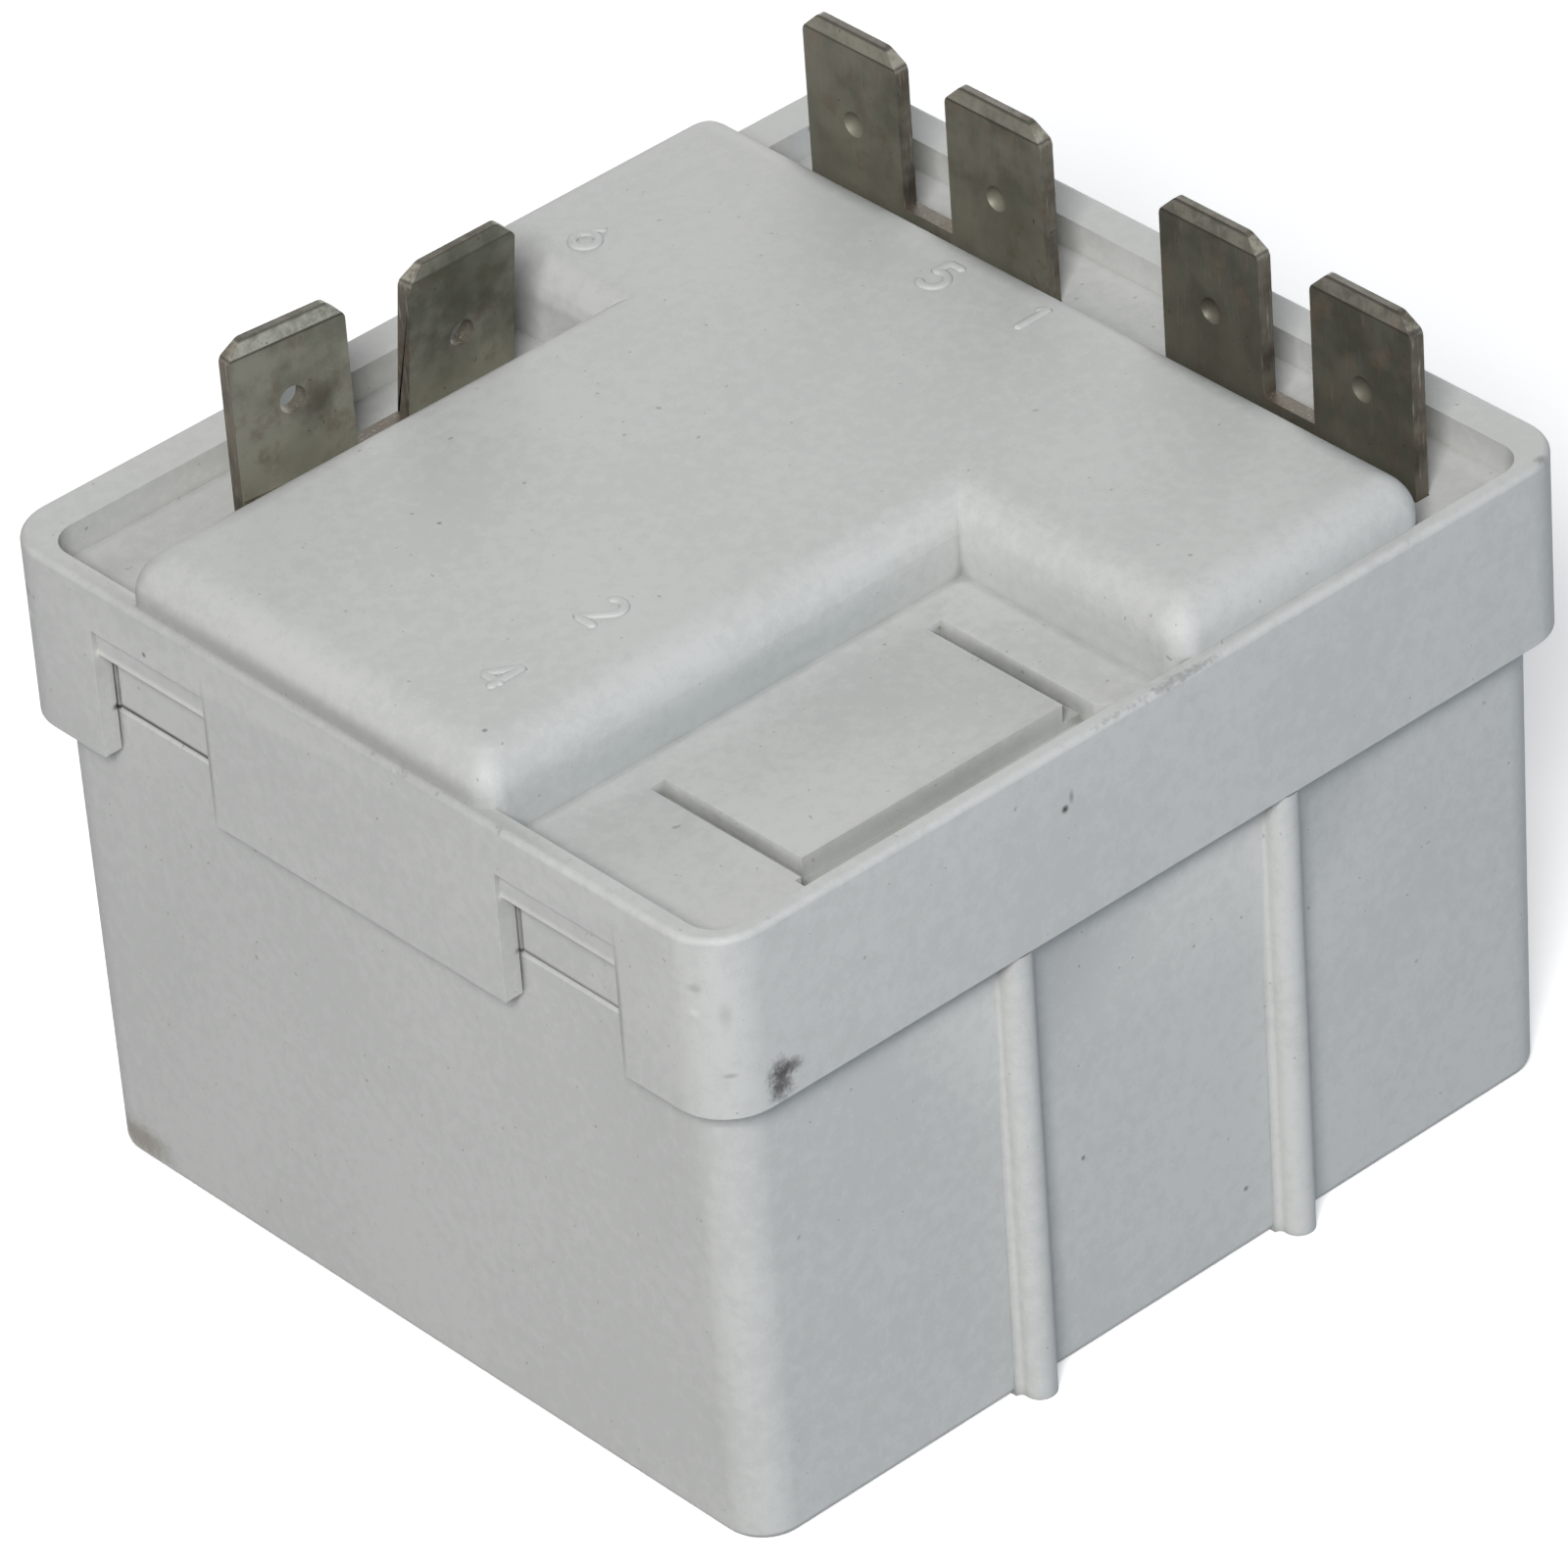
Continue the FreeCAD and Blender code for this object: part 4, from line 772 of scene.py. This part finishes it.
@dataclass
class Housing:
    """The moulded case and lid."""

    # Specks on the ribbed side and a stain at the lower far corner, then painted shadow in the two seams
    # below the lid and painted shade in the gap under the latches
    case_spots: tuple[DirtAndPaintedLight, ...] = (
        DirtAndPaintedLight((-4.64, -22.57, 10.7), 0.2, 0.9, 0.3),
        DirtAndPaintedLight((6.1, -23.5, 1.9), 0.32, 0.7, 0.6),
        DirtAndPaintedLight((5.2, -22.57, 3.4), 0.2, 0.7, 0.4),
        DirtAndPaintedLight((21.1, -22.6, 22.1), 0.22, 0.85, 0.4),
        DirtAndPaintedLight((20.5, -22.6, 21.7), 0.14, 0.85, 0.3),
        DirtAndPaintedLight((8.5, -23.3, 3.3), 0.8, 0.35, 1.2, (1.2, 1.0, 0.7)),
        DirtAndPaintedLight((-24.87, 20.0, 1.1), 1.9, 0.6, 1.1, (1.0, 0.7, 1.6), (0.16, 0.12, 0.08)),
        # Painted shadow under the lid's skirt, on both seams
        painted_light_band((0.0, -22.8, 24.55), (60.0, 0.6, 0.34), 0.85, 0.5, (0.12, 0.12, 0.11)),
        painted_light_band((-25.1, 0.0, 24.55), (0.6, 11.5, 0.34), 0.85, 0.5, (0.12, 0.12, 0.11)),
        # Painted shade in the gap under the latches
        painted_light_band((-25.1, 10.0, 26.8), (0.4, 60.0, 0.16), 1.0, 0.2, (0.02, 0.02, 0.018)),
    )
    # The smear at the near corner, specks and the rim's dirt, then painted shade in lines round the latches,
    # one of them a pale painted highlight, and painted shade at the rib's foot, in the pocket, in both
    # channels and before the tongue
    lid_spots: tuple[DirtAndPaintedLight, ...] = (
        DirtAndPaintedLight((-22.85, -23.9, 25.75), 1.2, 0.9, 1.5, (1.3, 1.0, 0.9)),
        DirtAndPaintedLight((-22.3, -23.9, 26.2), 0.8, 0.75, 1.3, (0.7, 1.0, 1.5)),
        DirtAndPaintedLight((-5.65, -23.9, 30.9), 0.28, 1.0, 0.3),
        DirtAndPaintedLight((-5.25, -23.9, 31.35), 0.45, 0.45, 0.5, (2.2, 1.0, 0.9)),
        DirtAndPaintedLight((-26.2, 13.7, 32.0), 0.2, 0.7, 0.4),
        DirtAndPaintedLight((-14.7, 6.3, 36.64), 0.16, 0.6, 0.4),
        DirtAndPaintedLight((-23.9, -7.2, 36.64), 0.18, 0.6, 0.4),
        DirtAndPaintedLight((1.6, -23.8, 34.1), 1.4, 0.4, 3.0, (0.5, 4.0, 4.0)),
        DirtAndPaintedLight((-2.4, -23.8, 34.1), 1.0, 0.3, 3.0, (0.5, 4.0, 4.0)),
        DirtAndPaintedLight((24.3, -23.5, 34.0), 0.5, 0.45, 1.6, (1.0, 1.4, 1.6)),
        # Painted shade in the gap under the latches' web and under the ledge
        painted_light_band((-25.1, 18.0, 26.92), (0.5, 60.0, 0.26), 1.0, 0.2, (0.02, 0.02, 0.018)),
        painted_light_band((-25.1, 10.0, 30.1), (0.4, 60.0, 1.1), 0.5, 0.4, (0.2, 0.2, 0.18)),
        # Painted highlight on the ledge's lower edge
        painted_light_band((-25.95, 10.0, 30.2), (0.2, 60.0, 0.35), 0.5, 0.3, (0.8, 0.8, 0.74)),
        # Painted shade along the window's top and the tab's upright edges
        painted_light_band((-25.9, 10.0, 31.5), (0.25, 60.0, 0.4), 0.55, 0.4, (0.15, 0.15, 0.13)),
        painted_light_band((-26.2, 9.75, 28.0), (0.5, 0.26, 5.0), 0.55, 0.4, (0.19, 0.19, 0.175)),
        painted_light_band((-26.2, -17.55, 28.0), (0.5, 0.26, 5.0), 0.55, 0.4, (0.19, 0.19, 0.175)),
        # Painted shade at the rib's foot, on the pocket's walls, in both channels and before the tongue
        painted_light_band((-25.9, 3.0, 34.45), (0.9, 24.0, 0.95), 0.5, 0.4, (0.2, 0.2, 0.18)),
        painted_light_band((-11.0, -9.2, 33.2), (18.0, 0.5, 1.7), 0.36, 0.3, (0.24, 0.275, 0.285)),
        painted_light_band((2.2, -15.5, 33.1), (0.5, 12.0, 1.6), 0.22, 0.3, (0.24, 0.275, 0.285)),
        painted_light_band((-17.5, -15.3, 31.7), (0.85, 8.0, 0.8), 0.65, 0.3, (0.15, 0.155, 0.135)),
        painted_light_band((-1.05, -15.6, 31.7), (0.85, 8.0, 0.8), 0.65, 0.3, (0.15, 0.155, 0.135)),
        painted_light_band((-9.4, -19.75, 31.5), (16.0, 0.6, 1.2), 0.42, 0.3, (0.19, 0.21, 0.19)),
    )
    rim_top: float = 34.1
    edges: Rounding = Rounding(0.22)

    def dress(self, nodes: dict[str, Object]) -> Material:
        """Replaces both CAD nodes with rounded, dressed copies.

        Args:
            nodes: The CAD nodes by name.

        Returns:
            The lid's material.
        """
        for name, spots in (("case", self.case_spots), ("lid", self.lid_spots)):
            low, high = (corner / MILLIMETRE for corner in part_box(name))
            finish = MouldedPlastic(
                name=f"moulded_{name}", half_length=high.x, half_width=-low.y,
                top=self.rim_top if name == "lid" else 0.0, spots=spots,
            )
            material = finish.build()
            piece = self.edges.copy(nodes[name], f"{name}_shell", material)
            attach(piece, Body.HOUSING.value)
            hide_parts(name)
            LOG.info("%s: %d vertices before rounding", piece.name, len(piece.data.vertices))
        return material


@dataclass(frozen=True)
class BladePair:
    """One pair of blades: its node, the axis across its sheet and its finish."""

    node: str
    across: int
    finish: TarnishedBlade


@dataclass
class Blades:
    """The three pairs of blade terminals."""

    pairs: tuple[BladePair, ...] = (
        BladePair("terminal_rear", 1, TarnishedBlade(
            "tin_rear", (0.142, 0.14, 0.105), (0.235, 0.228, 0.182), spots=(
                # The first spot is painted shade: the twisted blade's upper part darkened for its darker
                # reflection
                DirtAndPaintedLight((-3.6, 17.0, 40.6), 5.6, 0.7, 1.2, (0.9, 0.6, 1.0), (0.05, 0.05, 0.03)),
                DirtAndPaintedLight((-12.6, 17.3, 37.2), 1.5, 0.5, 1.6, (1.0, 0.6, 1.0), (0.05, 0.05, 0.035)),
            ),
        )),
        BladePair("terminal_side_back", 0, TarnishedBlade(
            "tin_side_back", (0.106, 0.103, 0.078), (0.162, 0.156, 0.121), wear_and_highlight_share=0.25,
        )),
        BladePair("terminal_side_front", 0, TarnishedBlade(
            "tin_side_front", (0.066, 0.064, 0.048), (0.1, 0.096, 0.073), wear_and_highlight_share=0.25,
        )),
    )
    cut_edge: TarnishedBlade = TarnishedBlade(
        "sheared_edge", (0.065, 0.054, 0.038), (0.155, 0.138, 0.107), (0.09, 0.055, 0.035),
        bright_share=0.7, foot_share=0.0,
    )
    rim: TarnishedBlade = TarnishedBlade(
        "rubbed_rim", (0.045, 0.037, 0.026), (0.33, 0.31, 0.26), bright_share=0.7, foot_share=0.0,
        metallic=0.9, roughness=0.3,
    )
    edges: Rounding = Rounding(0.09)
    edge_slope: float = 0.5
    corner_width: float = 0.55
    corner_segments: int = 5
    corner_reach: float = 1.5
    corner_angle: float = 20.0
    across_share: float = 0.9
    crease_angle: float = 14.0
    shading_weight: int = 100

    def round_corners(self, mesh: bpy.types.Mesh, across: int, top: float) -> None:
        """Rounds the short edges that run across the sheet at the blades' tips.

        Args:
            mesh: The pair's mesh.
            across: The axis across the sheet.
            top: The tips' height in metres.
        """
        form = bmesh.new()
        form.from_mesh(mesh)
        lowest = top - self.corner_reach * MILLIMETRE
        corners = []
        for edge in form.edges:
            first, second = (vertex.co for vertex in edge.verts)
            run = second - first
            at_tip = min(first.z, second.z) > lowest
            across_sheet = abs(run[across]) > self.across_share * run.length
            if at_tip and across_sheet and edge.calc_face_angle(0.0) > math.radians(self.corner_angle):
                corners.append(edge)
        bmesh.ops.bevel(
            form, geom=corners, offset=self.corner_width * MILLIMETRE, segments=self.corner_segments,
            affect="EDGES", profile=0.5, clamp_overlap=True,
        )
        form.to_mesh(mesh)
        form.free()
        LOG.info("%s: %d corners rounded", mesh.name, len(corners))

    def mark_cut_edges(self, mesh: bpy.types.Mesh, across: int) -> None:
        """Gives the sheared faces, which don't look across the sheet, the second material.

        Args:
            mesh: The pair's mesh.
            across: The axis across the sheet.
        """
        normals = np.empty(len(mesh.polygons) * 3, np.float32)
        mesh.polygons.foreach_get("normal", normals)
        sheared = np.abs(normals.reshape(-1, 3)[:, across]) < self.edge_slope
        mesh.polygons.foreach_set("material_index", sheared.astype(np.int32))

    def shade_evenly(self, piece: Object) -> None:
        """Keeps the flat faces' shading flat, up to the line of each tip's bevel.

        Args:
            piece: The rounded pair.
        """
        piece.data.set_sharp_from_angle(angle=math.radians(self.crease_angle))
        piece.modifiers[0].harden_normals = False
        even = piece.modifiers.new("Even shading", "WEIGHTED_NORMAL")
        even.keep_sharp = True
        even.weight = self.shading_weight

    def dress(self, nodes: dict[str, Object]) -> None:
        """Replaces the CAD nodes with rounded, tarnished copies.

        Args:
            nodes: The CAD nodes by name.
        """
        sheared, rim = self.cut_edge.build(), self.rim.build()
        for pair in self.pairs:
            piece = self.edges.copy(nodes[pair.node], f"{pair.node}_blades", pair.finish.build())
            piece.data.materials.append(sheared)
            piece.data.materials.append(rim)
            piece.modifiers[0].material = len(piece.data.materials) - 1
            self.round_corners(piece.data, pair.across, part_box(pair.node)[1].z)
            self.mark_cut_edges(piece.data, pair.across)
            self.shade_evenly(piece)
            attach(piece, Body.HOUSING.value)
            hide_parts(pair.node)
            LOG.info("%s dressed", piece.name)


class Stroke(Enum):
    """The ways in which a numeral's stroke runs."""

    LINE = "line"
    ARC = "arc"


Run = tuple[Stroke, tuple[float, ...]]


@dataclass(frozen=True)
class Numeral:
    """A plain raised numeral: its strokes in a box 0.6 wide and 1 high."""

    strokes: tuple[tuple[Run, ...], ...]


@dataclass
class RaisedNumbers:
    """Plain terminal numbers that stand slightly proud of the lid's raised rib.

    Lengths are in millimetres, and end_area is the share of its section that a stroke keeps at an end.
    """

    top: float = 36.65
    height: float = 2.1
    stroke_width: float = 0.5
    stroke_rise: float = 0.14
    along: int = 48
    around: int = 12
    end_area: float = 0.0025
    middle: tuple[float, float] = (0.3, 0.5)
    numerals: dict[str, Numeral] = field(default_factory=lambda: {
        "1": Numeral((((Stroke.LINE, (0.14, 0.78, 0.34, 1.0)), (Stroke.LINE, (0.34, 1.0, 0.34, 0.0))),)),
        "2": Numeral(((
            (Stroke.ARC, (0.3, 0.72, 0.27, 160.0, -35.0)), (Stroke.LINE, (0.52, 0.565, 0.03, 0.0)),
            (Stroke.LINE, (0.03, 0.0, 0.6, 0.0)),
        ),)),
        "4": Numeral(((
            (Stroke.LINE, (0.44, 0.0, 0.44, 1.0)), (Stroke.LINE, (0.44, 1.0, 0.0, 0.3)),
            (Stroke.LINE, (0.0, 0.3, 0.6, 0.3)),
        ),)),
        "5": Numeral(((
            (Stroke.LINE, (0.54, 1.0, 0.1, 1.0)), (Stroke.LINE, (0.1, 1.0, 0.07, 0.55)),
            (Stroke.ARC, (0.27, 0.32, 0.31, 130.0, -150.0)),
        ),)),
        "6": Numeral(((
            (Stroke.ARC, (0.58, 0.36, 0.58, 112.0, 180.0)), (Stroke.ARC, (0.29, 0.29, 0.29, 180.0, 540.0)),
        ),)),
    })
    places: tuple[tuple[str, float, float], ...] = (
        ("6", 5.6, 18.8), ("5", 14.0, 4.4), ("1", 14.3, -1.2), ("4", -20.7, -4.6), ("2", -14.4, -4.3),
    )

    def centreline(self, runs: tuple[Run, ...]) -> np.ndarray:
        """Works out a stroke's points, evenly spaced along it.

        A line runs straight between its ends, and an arc turns about its centre between two angles.

        Args:
            runs: The stroke's lines and arcs in order.

        Returns:
            The points in the numeral's box, one row each.
        """
        share = np.linspace(0.0, 1.0, self.along)[:, None]
        parts = []
        for kind, numbers in runs:
            if kind is Stroke.LINE:
                start, end = np.array(numbers[:2]), np.array(numbers[2:])
                parts.append(start + (end - start) * share)
            else:
                centre, radius = np.array(numbers[:2]), numbers[2]
                angle = np.radians(numbers[3] + (numbers[4] - numbers[3]) * share)
                parts.append(centre + radius * np.hstack([np.cos(angle), np.sin(angle)]))
        points = np.vstack(parts)
        travelled = np.concatenate([[0.0], np.cumsum(np.linalg.norm(np.diff(points, axis=0), axis=1))])
        even = np.linspace(0.0, travelled[-1], self.along)
        return np.column_stack([np.interp(even, travelled, points[:, axis]) for axis in (0, 1)])

    def tube(self, centre: np.ndarray) -> tuple[np.ndarray, np.ndarray]:
        """Carries a flat oval along a stroke.

        At a share s along the stroke and an angle a round it, the point is the centreline plus half the
        width times cos a across it, and the rise times sin a above it. Both shrink at the two ends as a
        quarter circle does, so that the ends close.

        Args:
            centre: The stroke's points in millimetres, on the rib's top.

        Returns:
            The vertices and the four-sided faces.
        """
        length = np.concatenate([[0.0], np.cumsum(np.linalg.norm(np.diff(centre, axis=0), axis=1))])
        half = self.stroke_width / 2
        to_end = np.minimum(length, length[-1] - length)
        inwards = 1.0 - np.clip(to_end / half, 0.0, 1.0)
        swell = np.sqrt(np.clip(1.0 - inwards ** 2, self.end_area, 1.0))
        heading = np.gradient(centre, axis=0)
        heading /= np.linalg.norm(heading, axis=1, keepdims=True)
        across = np.column_stack([-heading[:, 1], heading[:, 0]])
        angle = np.linspace(0.0, math.tau, self.around, endpoint=False)
        level = centre[:, None, :] + across[:, None, :] * (half * swell[:, None] * np.cos(angle))[:, :, None]
        rise = self.top + self.stroke_rise * swell[:, None] * np.sin(angle)
        points = np.dstack([level, rise]).reshape(-1, 3)
        row, column = np.meshgrid(np.arange(len(centre) - 1), np.arange(self.around), indexing="ij")
        following = (column + 1) % self.around
        first = row * self.around
        faces = np.stack([
            first + column, first + self.around + column, first + self.around + following, first + following,
        ], axis=-1)
        return points, faces.reshape(-1, 4)

    def dress(self, material: Material) -> None:
        """Builds each number as one piece on the lid.

        Args:
            material: The lid's own plastic.
        """
        for label, x, y in self.places:
            vertices, faces, offset = [], [], 0
            for runs in self.numerals[label].strokes:
                flat = self.centreline(runs)
                across, up = ((flat - self.middle) * self.height).T
                centre = np.column_stack([x + up, y - across])
                points, quads = self.tube(centre)
                vertices.append(points * MILLIMETRE)
                faces.append(quads + offset)
                offset += len(points)
            mesh = bpy.data.meshes.new(f"raised_number_{label}")
            mesh.from_pydata(np.vstack(vertices).tolist(), [], np.vstack(faces).tolist())
            self.close(mesh)
            mesh.materials.append(material)
            piece = bpy.data.objects.new(mesh.name, mesh)
            bpy.context.collection.objects.link(piece)
            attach(piece, Body.HOUSING.value)
            LOG.info("%s at %.1f, %.1f", piece.name, x, y)

    def close(self, mesh: bpy.types.Mesh) -> None:
        """Fills the stroke's two small ends, points the faces outwards and shades them smooth.

        Args:
            mesh: The number's mesh.
        """
        form = bmesh.new()
        form.from_mesh(mesh)
        bmesh.ops.holes_fill(form, edges=form.edges, sides=0)
        bmesh.ops.recalc_face_normals(form, faces=form.faces)
        form.to_mesh(mesh)
        form.free()
        mesh.polygons.foreach_set("use_smooth", np.ones(len(mesh.polygons), bool))


@dataclass
class Mechanism:
    """Everything inside the housing, which keeps its CAD shape."""

    finishes: dict[str, tuple[str, ...]] = field(default_factory=lambda: {
        "plated_steel": ("frame", "core", "armature", "hinge_pin", "frame_screws"),
        "spring_wire": ("return_spring",),
        "bobbin_plastic": ("bobbin",),
        "copper_wire": ("lead_start", "lead_finish", "frame_link"),
        "winding": ("winding",),
        "tape": ("coil_tape",),
        "spring_bronze": ("residual_pad", "contact_blade", "blade_rivets"),
        "silver_contact": ("moving_contact", "fixed_contact"),
        "tinned_pin": ("coil_pins",),
    })

    def materials(self) -> dict[str, Material]:
        """Builds the finishes.

        Returns:
            The materials by the finish's name.
        """
        # A box this large has no edge near the bobbin, so none of it is lightened or chipped at the edges
        edge_free = 100.0
        finishes = {
            "plated_steel": PlainMetal("zinc_plate", (0.56, 0.56, 0.53), (0.42, 0.41, 0.37)),
            "spring_wire": PlainMetal("drawn_wire", (0.40, 0.40, 0.41), (0.28, 0.28, 0.28), 0.25),
            "bobbin_plastic": MouldedPlastic(
                "bobbin_nylon", edge_free, edge_free, edge_free, (0.66, 0.64, 0.57), (0.72, 0.70, 0.63),
            ),
            "copper_wire": PlainMetal("lead_copper", (0.62, 0.27, 0.12), (0.42, 0.17, 0.08), 0.3),
            "winding": CoilLayers("wound_copper", (0.55, 0.22, 0.08), (0.16, 0.05, 0.02), 0.25, 0.9, 0.3),
            "tape": CoilLayers("yellow_tape", (0.55, 0.42, 0.10), (0.40, 0.29, 0.06), 6.0, 0.0, 0.35),
            "spring_bronze": PlainMetal(
                "rolled_bronze", (0.50, 0.32, 0.14), (0.34, 0.20, 0.09), 0.3, (8.0, 8.0, 0.4),
            ),
            "silver_contact": PlainMetal("contact_silver", (0.75, 0.74, 0.71), (0.45, 0.43, 0.40), 0.22),
            "tinned_pin": PlainMetal("tinned_pin", (0.55, 0.55, 0.53), (0.38, 0.37, 0.34), 0.3),
        }
        return {name: finish.build() for name, finish in finishes.items()}

    def dress(self, nodes: dict[str, Object]) -> None:
        """Gives each inner node its material.

        Args:
            nodes: The CAD nodes by name.
        """
        materials = self.materials()
        for finish, names in self.finishes.items():
            for name in names:
                dress_node(nodes[name], materials[finish])
                LOG.info("%s in %s", name, finish)


@dataclass(frozen=True)
class Viewpoint:
    """Where the photograph was taken from, worked out from the relay's edges.

    Turns are in degrees and lengths in millimetres, but for the nearest and farthest seen, in metres.
    """

    azimuth: float = 40.135
    elevation: float = 35.244
    roll: float = -4.307
    aim: Place = (0.3, 0.1, 17.5)
    shift_right: float = 1.136
    shift_up: float = -0.058
    distance: float = 498.499
    focal_pixels: float = 11147.9
    image_pixels: float = 1600.0
    sensor: float = 36.0
    nearest: float = 0.01
    farthest: float = 20.0

    def make(self) -> None:
        """Makes the scene's camera."""
        turns = (self.azimuth, self.elevation, self.roll)
        azimuth, elevation, roll = (math.radians(angle) for angle in turns)
        forward = Vector((
            math.sin(azimuth) * math.cos(elevation),
            math.cos(azimuth) * math.cos(elevation),
            -math.sin(elevation),
        ))
        level = Vector((math.cos(azimuth), -math.sin(azimuth), 0.0))
        upright = level.cross(forward)
        right = level * math.cos(roll) + upright * math.sin(roll)
        up = upright * math.cos(roll) - level * math.sin(roll)
        place = Vector(self.aim) - right * self.shift_right - up * self.shift_up - forward * self.distance
        lens = bpy.data.cameras.new("Photographer")
        lens.sensor_width = self.sensor
        lens.lens = self.sensor * self.focal_pixels / self.image_pixels
        lens.clip_start = self.nearest
        lens.clip_end = self.farthest
        camera = bpy.data.objects.new("Photographer", lens)
        bpy.context.collection.objects.link(camera)
        turned = Matrix((right, up, -forward)).transposed().to_4x4()
        camera.matrix_world = Matrix.Translation(place * MILLIMETRE) @ turned
        bpy.context.scene.camera = camera


@dataclass(frozen=True)
class Lamp:
    """One soft box, aimed at the relay, in metres.

    Its level is the share of a colour's own brightness that it lights.
    """

    name: str
    place: Place
    size: float
    level: float
    colour: Colour = WHITE

    def make(self, aim: Vector) -> None:
        """Hangs the lamp.

        Args:
            aim: The point that it faces.
        """
        light = bpy.data.lights.new(self.name, "AREA")
        light.shape = "SQUARE"
        light.size = self.size
        light.color = self.colour
        reach = (Vector(self.place) - aim).length
        light.energy = self.level * (math.pi * reach) ** 2
        lamp = bpy.data.objects.new(self.name, light)
        lamp.location = self.place
        lamp.rotation_mode = "QUATERNION"
        lamp.rotation_quaternion = (Vector(self.place) - aim).to_track_quat("Z", "Y")
        bpy.context.collection.objects.link(lamp)


@dataclass
class Studio:
    """Pale floor, even sky and soft boxes, in metres."""

    aim: Place = (0.0, 0.0, 0.018)
    sky: float = 0.18
    sky_colour: Colour = (0.95, 0.985, 1.03)
    floor_reach: float = 3.0
    floor_seen: Colour = (0.97, 0.97, 0.97)
    floor_bounce: Colour = (0.30, 0.305, 0.32)
    floor_cloud: Colour = (0.9, 0.9, 0.9)
    floor_cloud_share: float = 0.02
    floor_glow: float = 0.3
    floor_roughness: float = 0.95
    floor_gloss: float = 0.1
    lamps: tuple[Lamp, ...] = (
        Lamp("Front box", (-0.515, -0.445, 0.59), 0.24, 0.985, (1.0, 0.995, 0.985)),
        Lamp("Cool side box", (0.25, -0.85, 0.2), 0.5, 0.08, (0.55, 1.0, 1.45)),
        Lamp("Back box", (0.60, 0.60, 0.22), 0.45, 0.36),
    )

    def floor(self) -> None:
        """Lays a wide square at the underside's level. It looks pale, and throws little light back."""
        reach = self.floor_reach
        mesh = bpy.data.meshes.new("Floor")
        corners = [(-reach, -reach, 0.0), (reach, -reach, 0.0), (reach, reach, 0.0), (-reach, reach, 0.0)]
        mesh.from_pydata(corners, [], [(0, 1, 2, 3)])
        material, board, shader, place = blank_material("floor_paper")
        paper = board.mix(self.seen(board), self.floor_bounce, self.floor_seen)
        tone = board.lay(paper, board.noise(place, 0.02), self.floor_cloud_share, self.floor_cloud)
        board.feed(shader.inputs["Base Color"], tone)
        shader.inputs["Roughness"].default_value = self.floor_roughness
        shader.inputs["Specular IOR Level"].default_value = self.floor_gloss
        board.feed(shader.inputs["Emission Color"], WHITE)
        glow = board.math("MULTIPLY", self.seen(board), self.floor_glow)
        board.feed(shader.inputs["Emission Strength"], glow)
        mesh.materials.append(material)
        floor = bpy.data.objects.new("Floor", mesh)
        bpy.context.collection.objects.link(floor)

    def seen(self, board: Board) -> Socket:
        """Works out whether a ray shows the background: 1 for the camera, gloss and glass.

        Args:
            board: The board that takes the nodes.

        Returns:
            The share's socket.
        """
        path = board.add("LightPath").outputs
        direct = board.math("MAXIMUM", path["Is Camera Ray"], path["Is Glossy Ray"])
        return board.math("MAXIMUM", direct, path["Is Transmission Ray"])

    def world(self) -> None:
        """Sets an even sky for light, and white for what the camera and the gloss see."""
        world = bpy.data.worlds.new("Studio")
        world.use_nodes = True
        world.node_tree.nodes.clear()
        board = Board(world.node_tree)
        lit = board.add("Background", self.sky_colour, self.sky)
        shown = board.add("Background", WHITE, 1.0)
        both = board.add("MixShader", self.seen(board), lit.outputs[0], shown.outputs[0])
        board.add("OutputWorld", both.outputs[0])
        bpy.context.scene.world = world

    def make(self) -> None:
        """Builds the whole studio."""
        self.floor()
        self.world()
        for lamp in self.lamps:
            lamp.make(Vector(self.aim))
        bpy.context.scene.view_settings.view_transform = "Standard"


def main() -> None:
    """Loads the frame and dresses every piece."""
    logging.basicConfig(level=logging.INFO, format="%(name)s: %(message)s")
    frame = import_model()
    Viewpoint().make()
    Studio().make()
    nodes = frame["nodes"]
    Mechanism().dress(nodes)
    lid_plastic = Housing().dress(nodes)
    RaisedNumbers().dress(lid_plastic)
    Blades().dress(nodes)


if __name__ == "__main__":
    main()
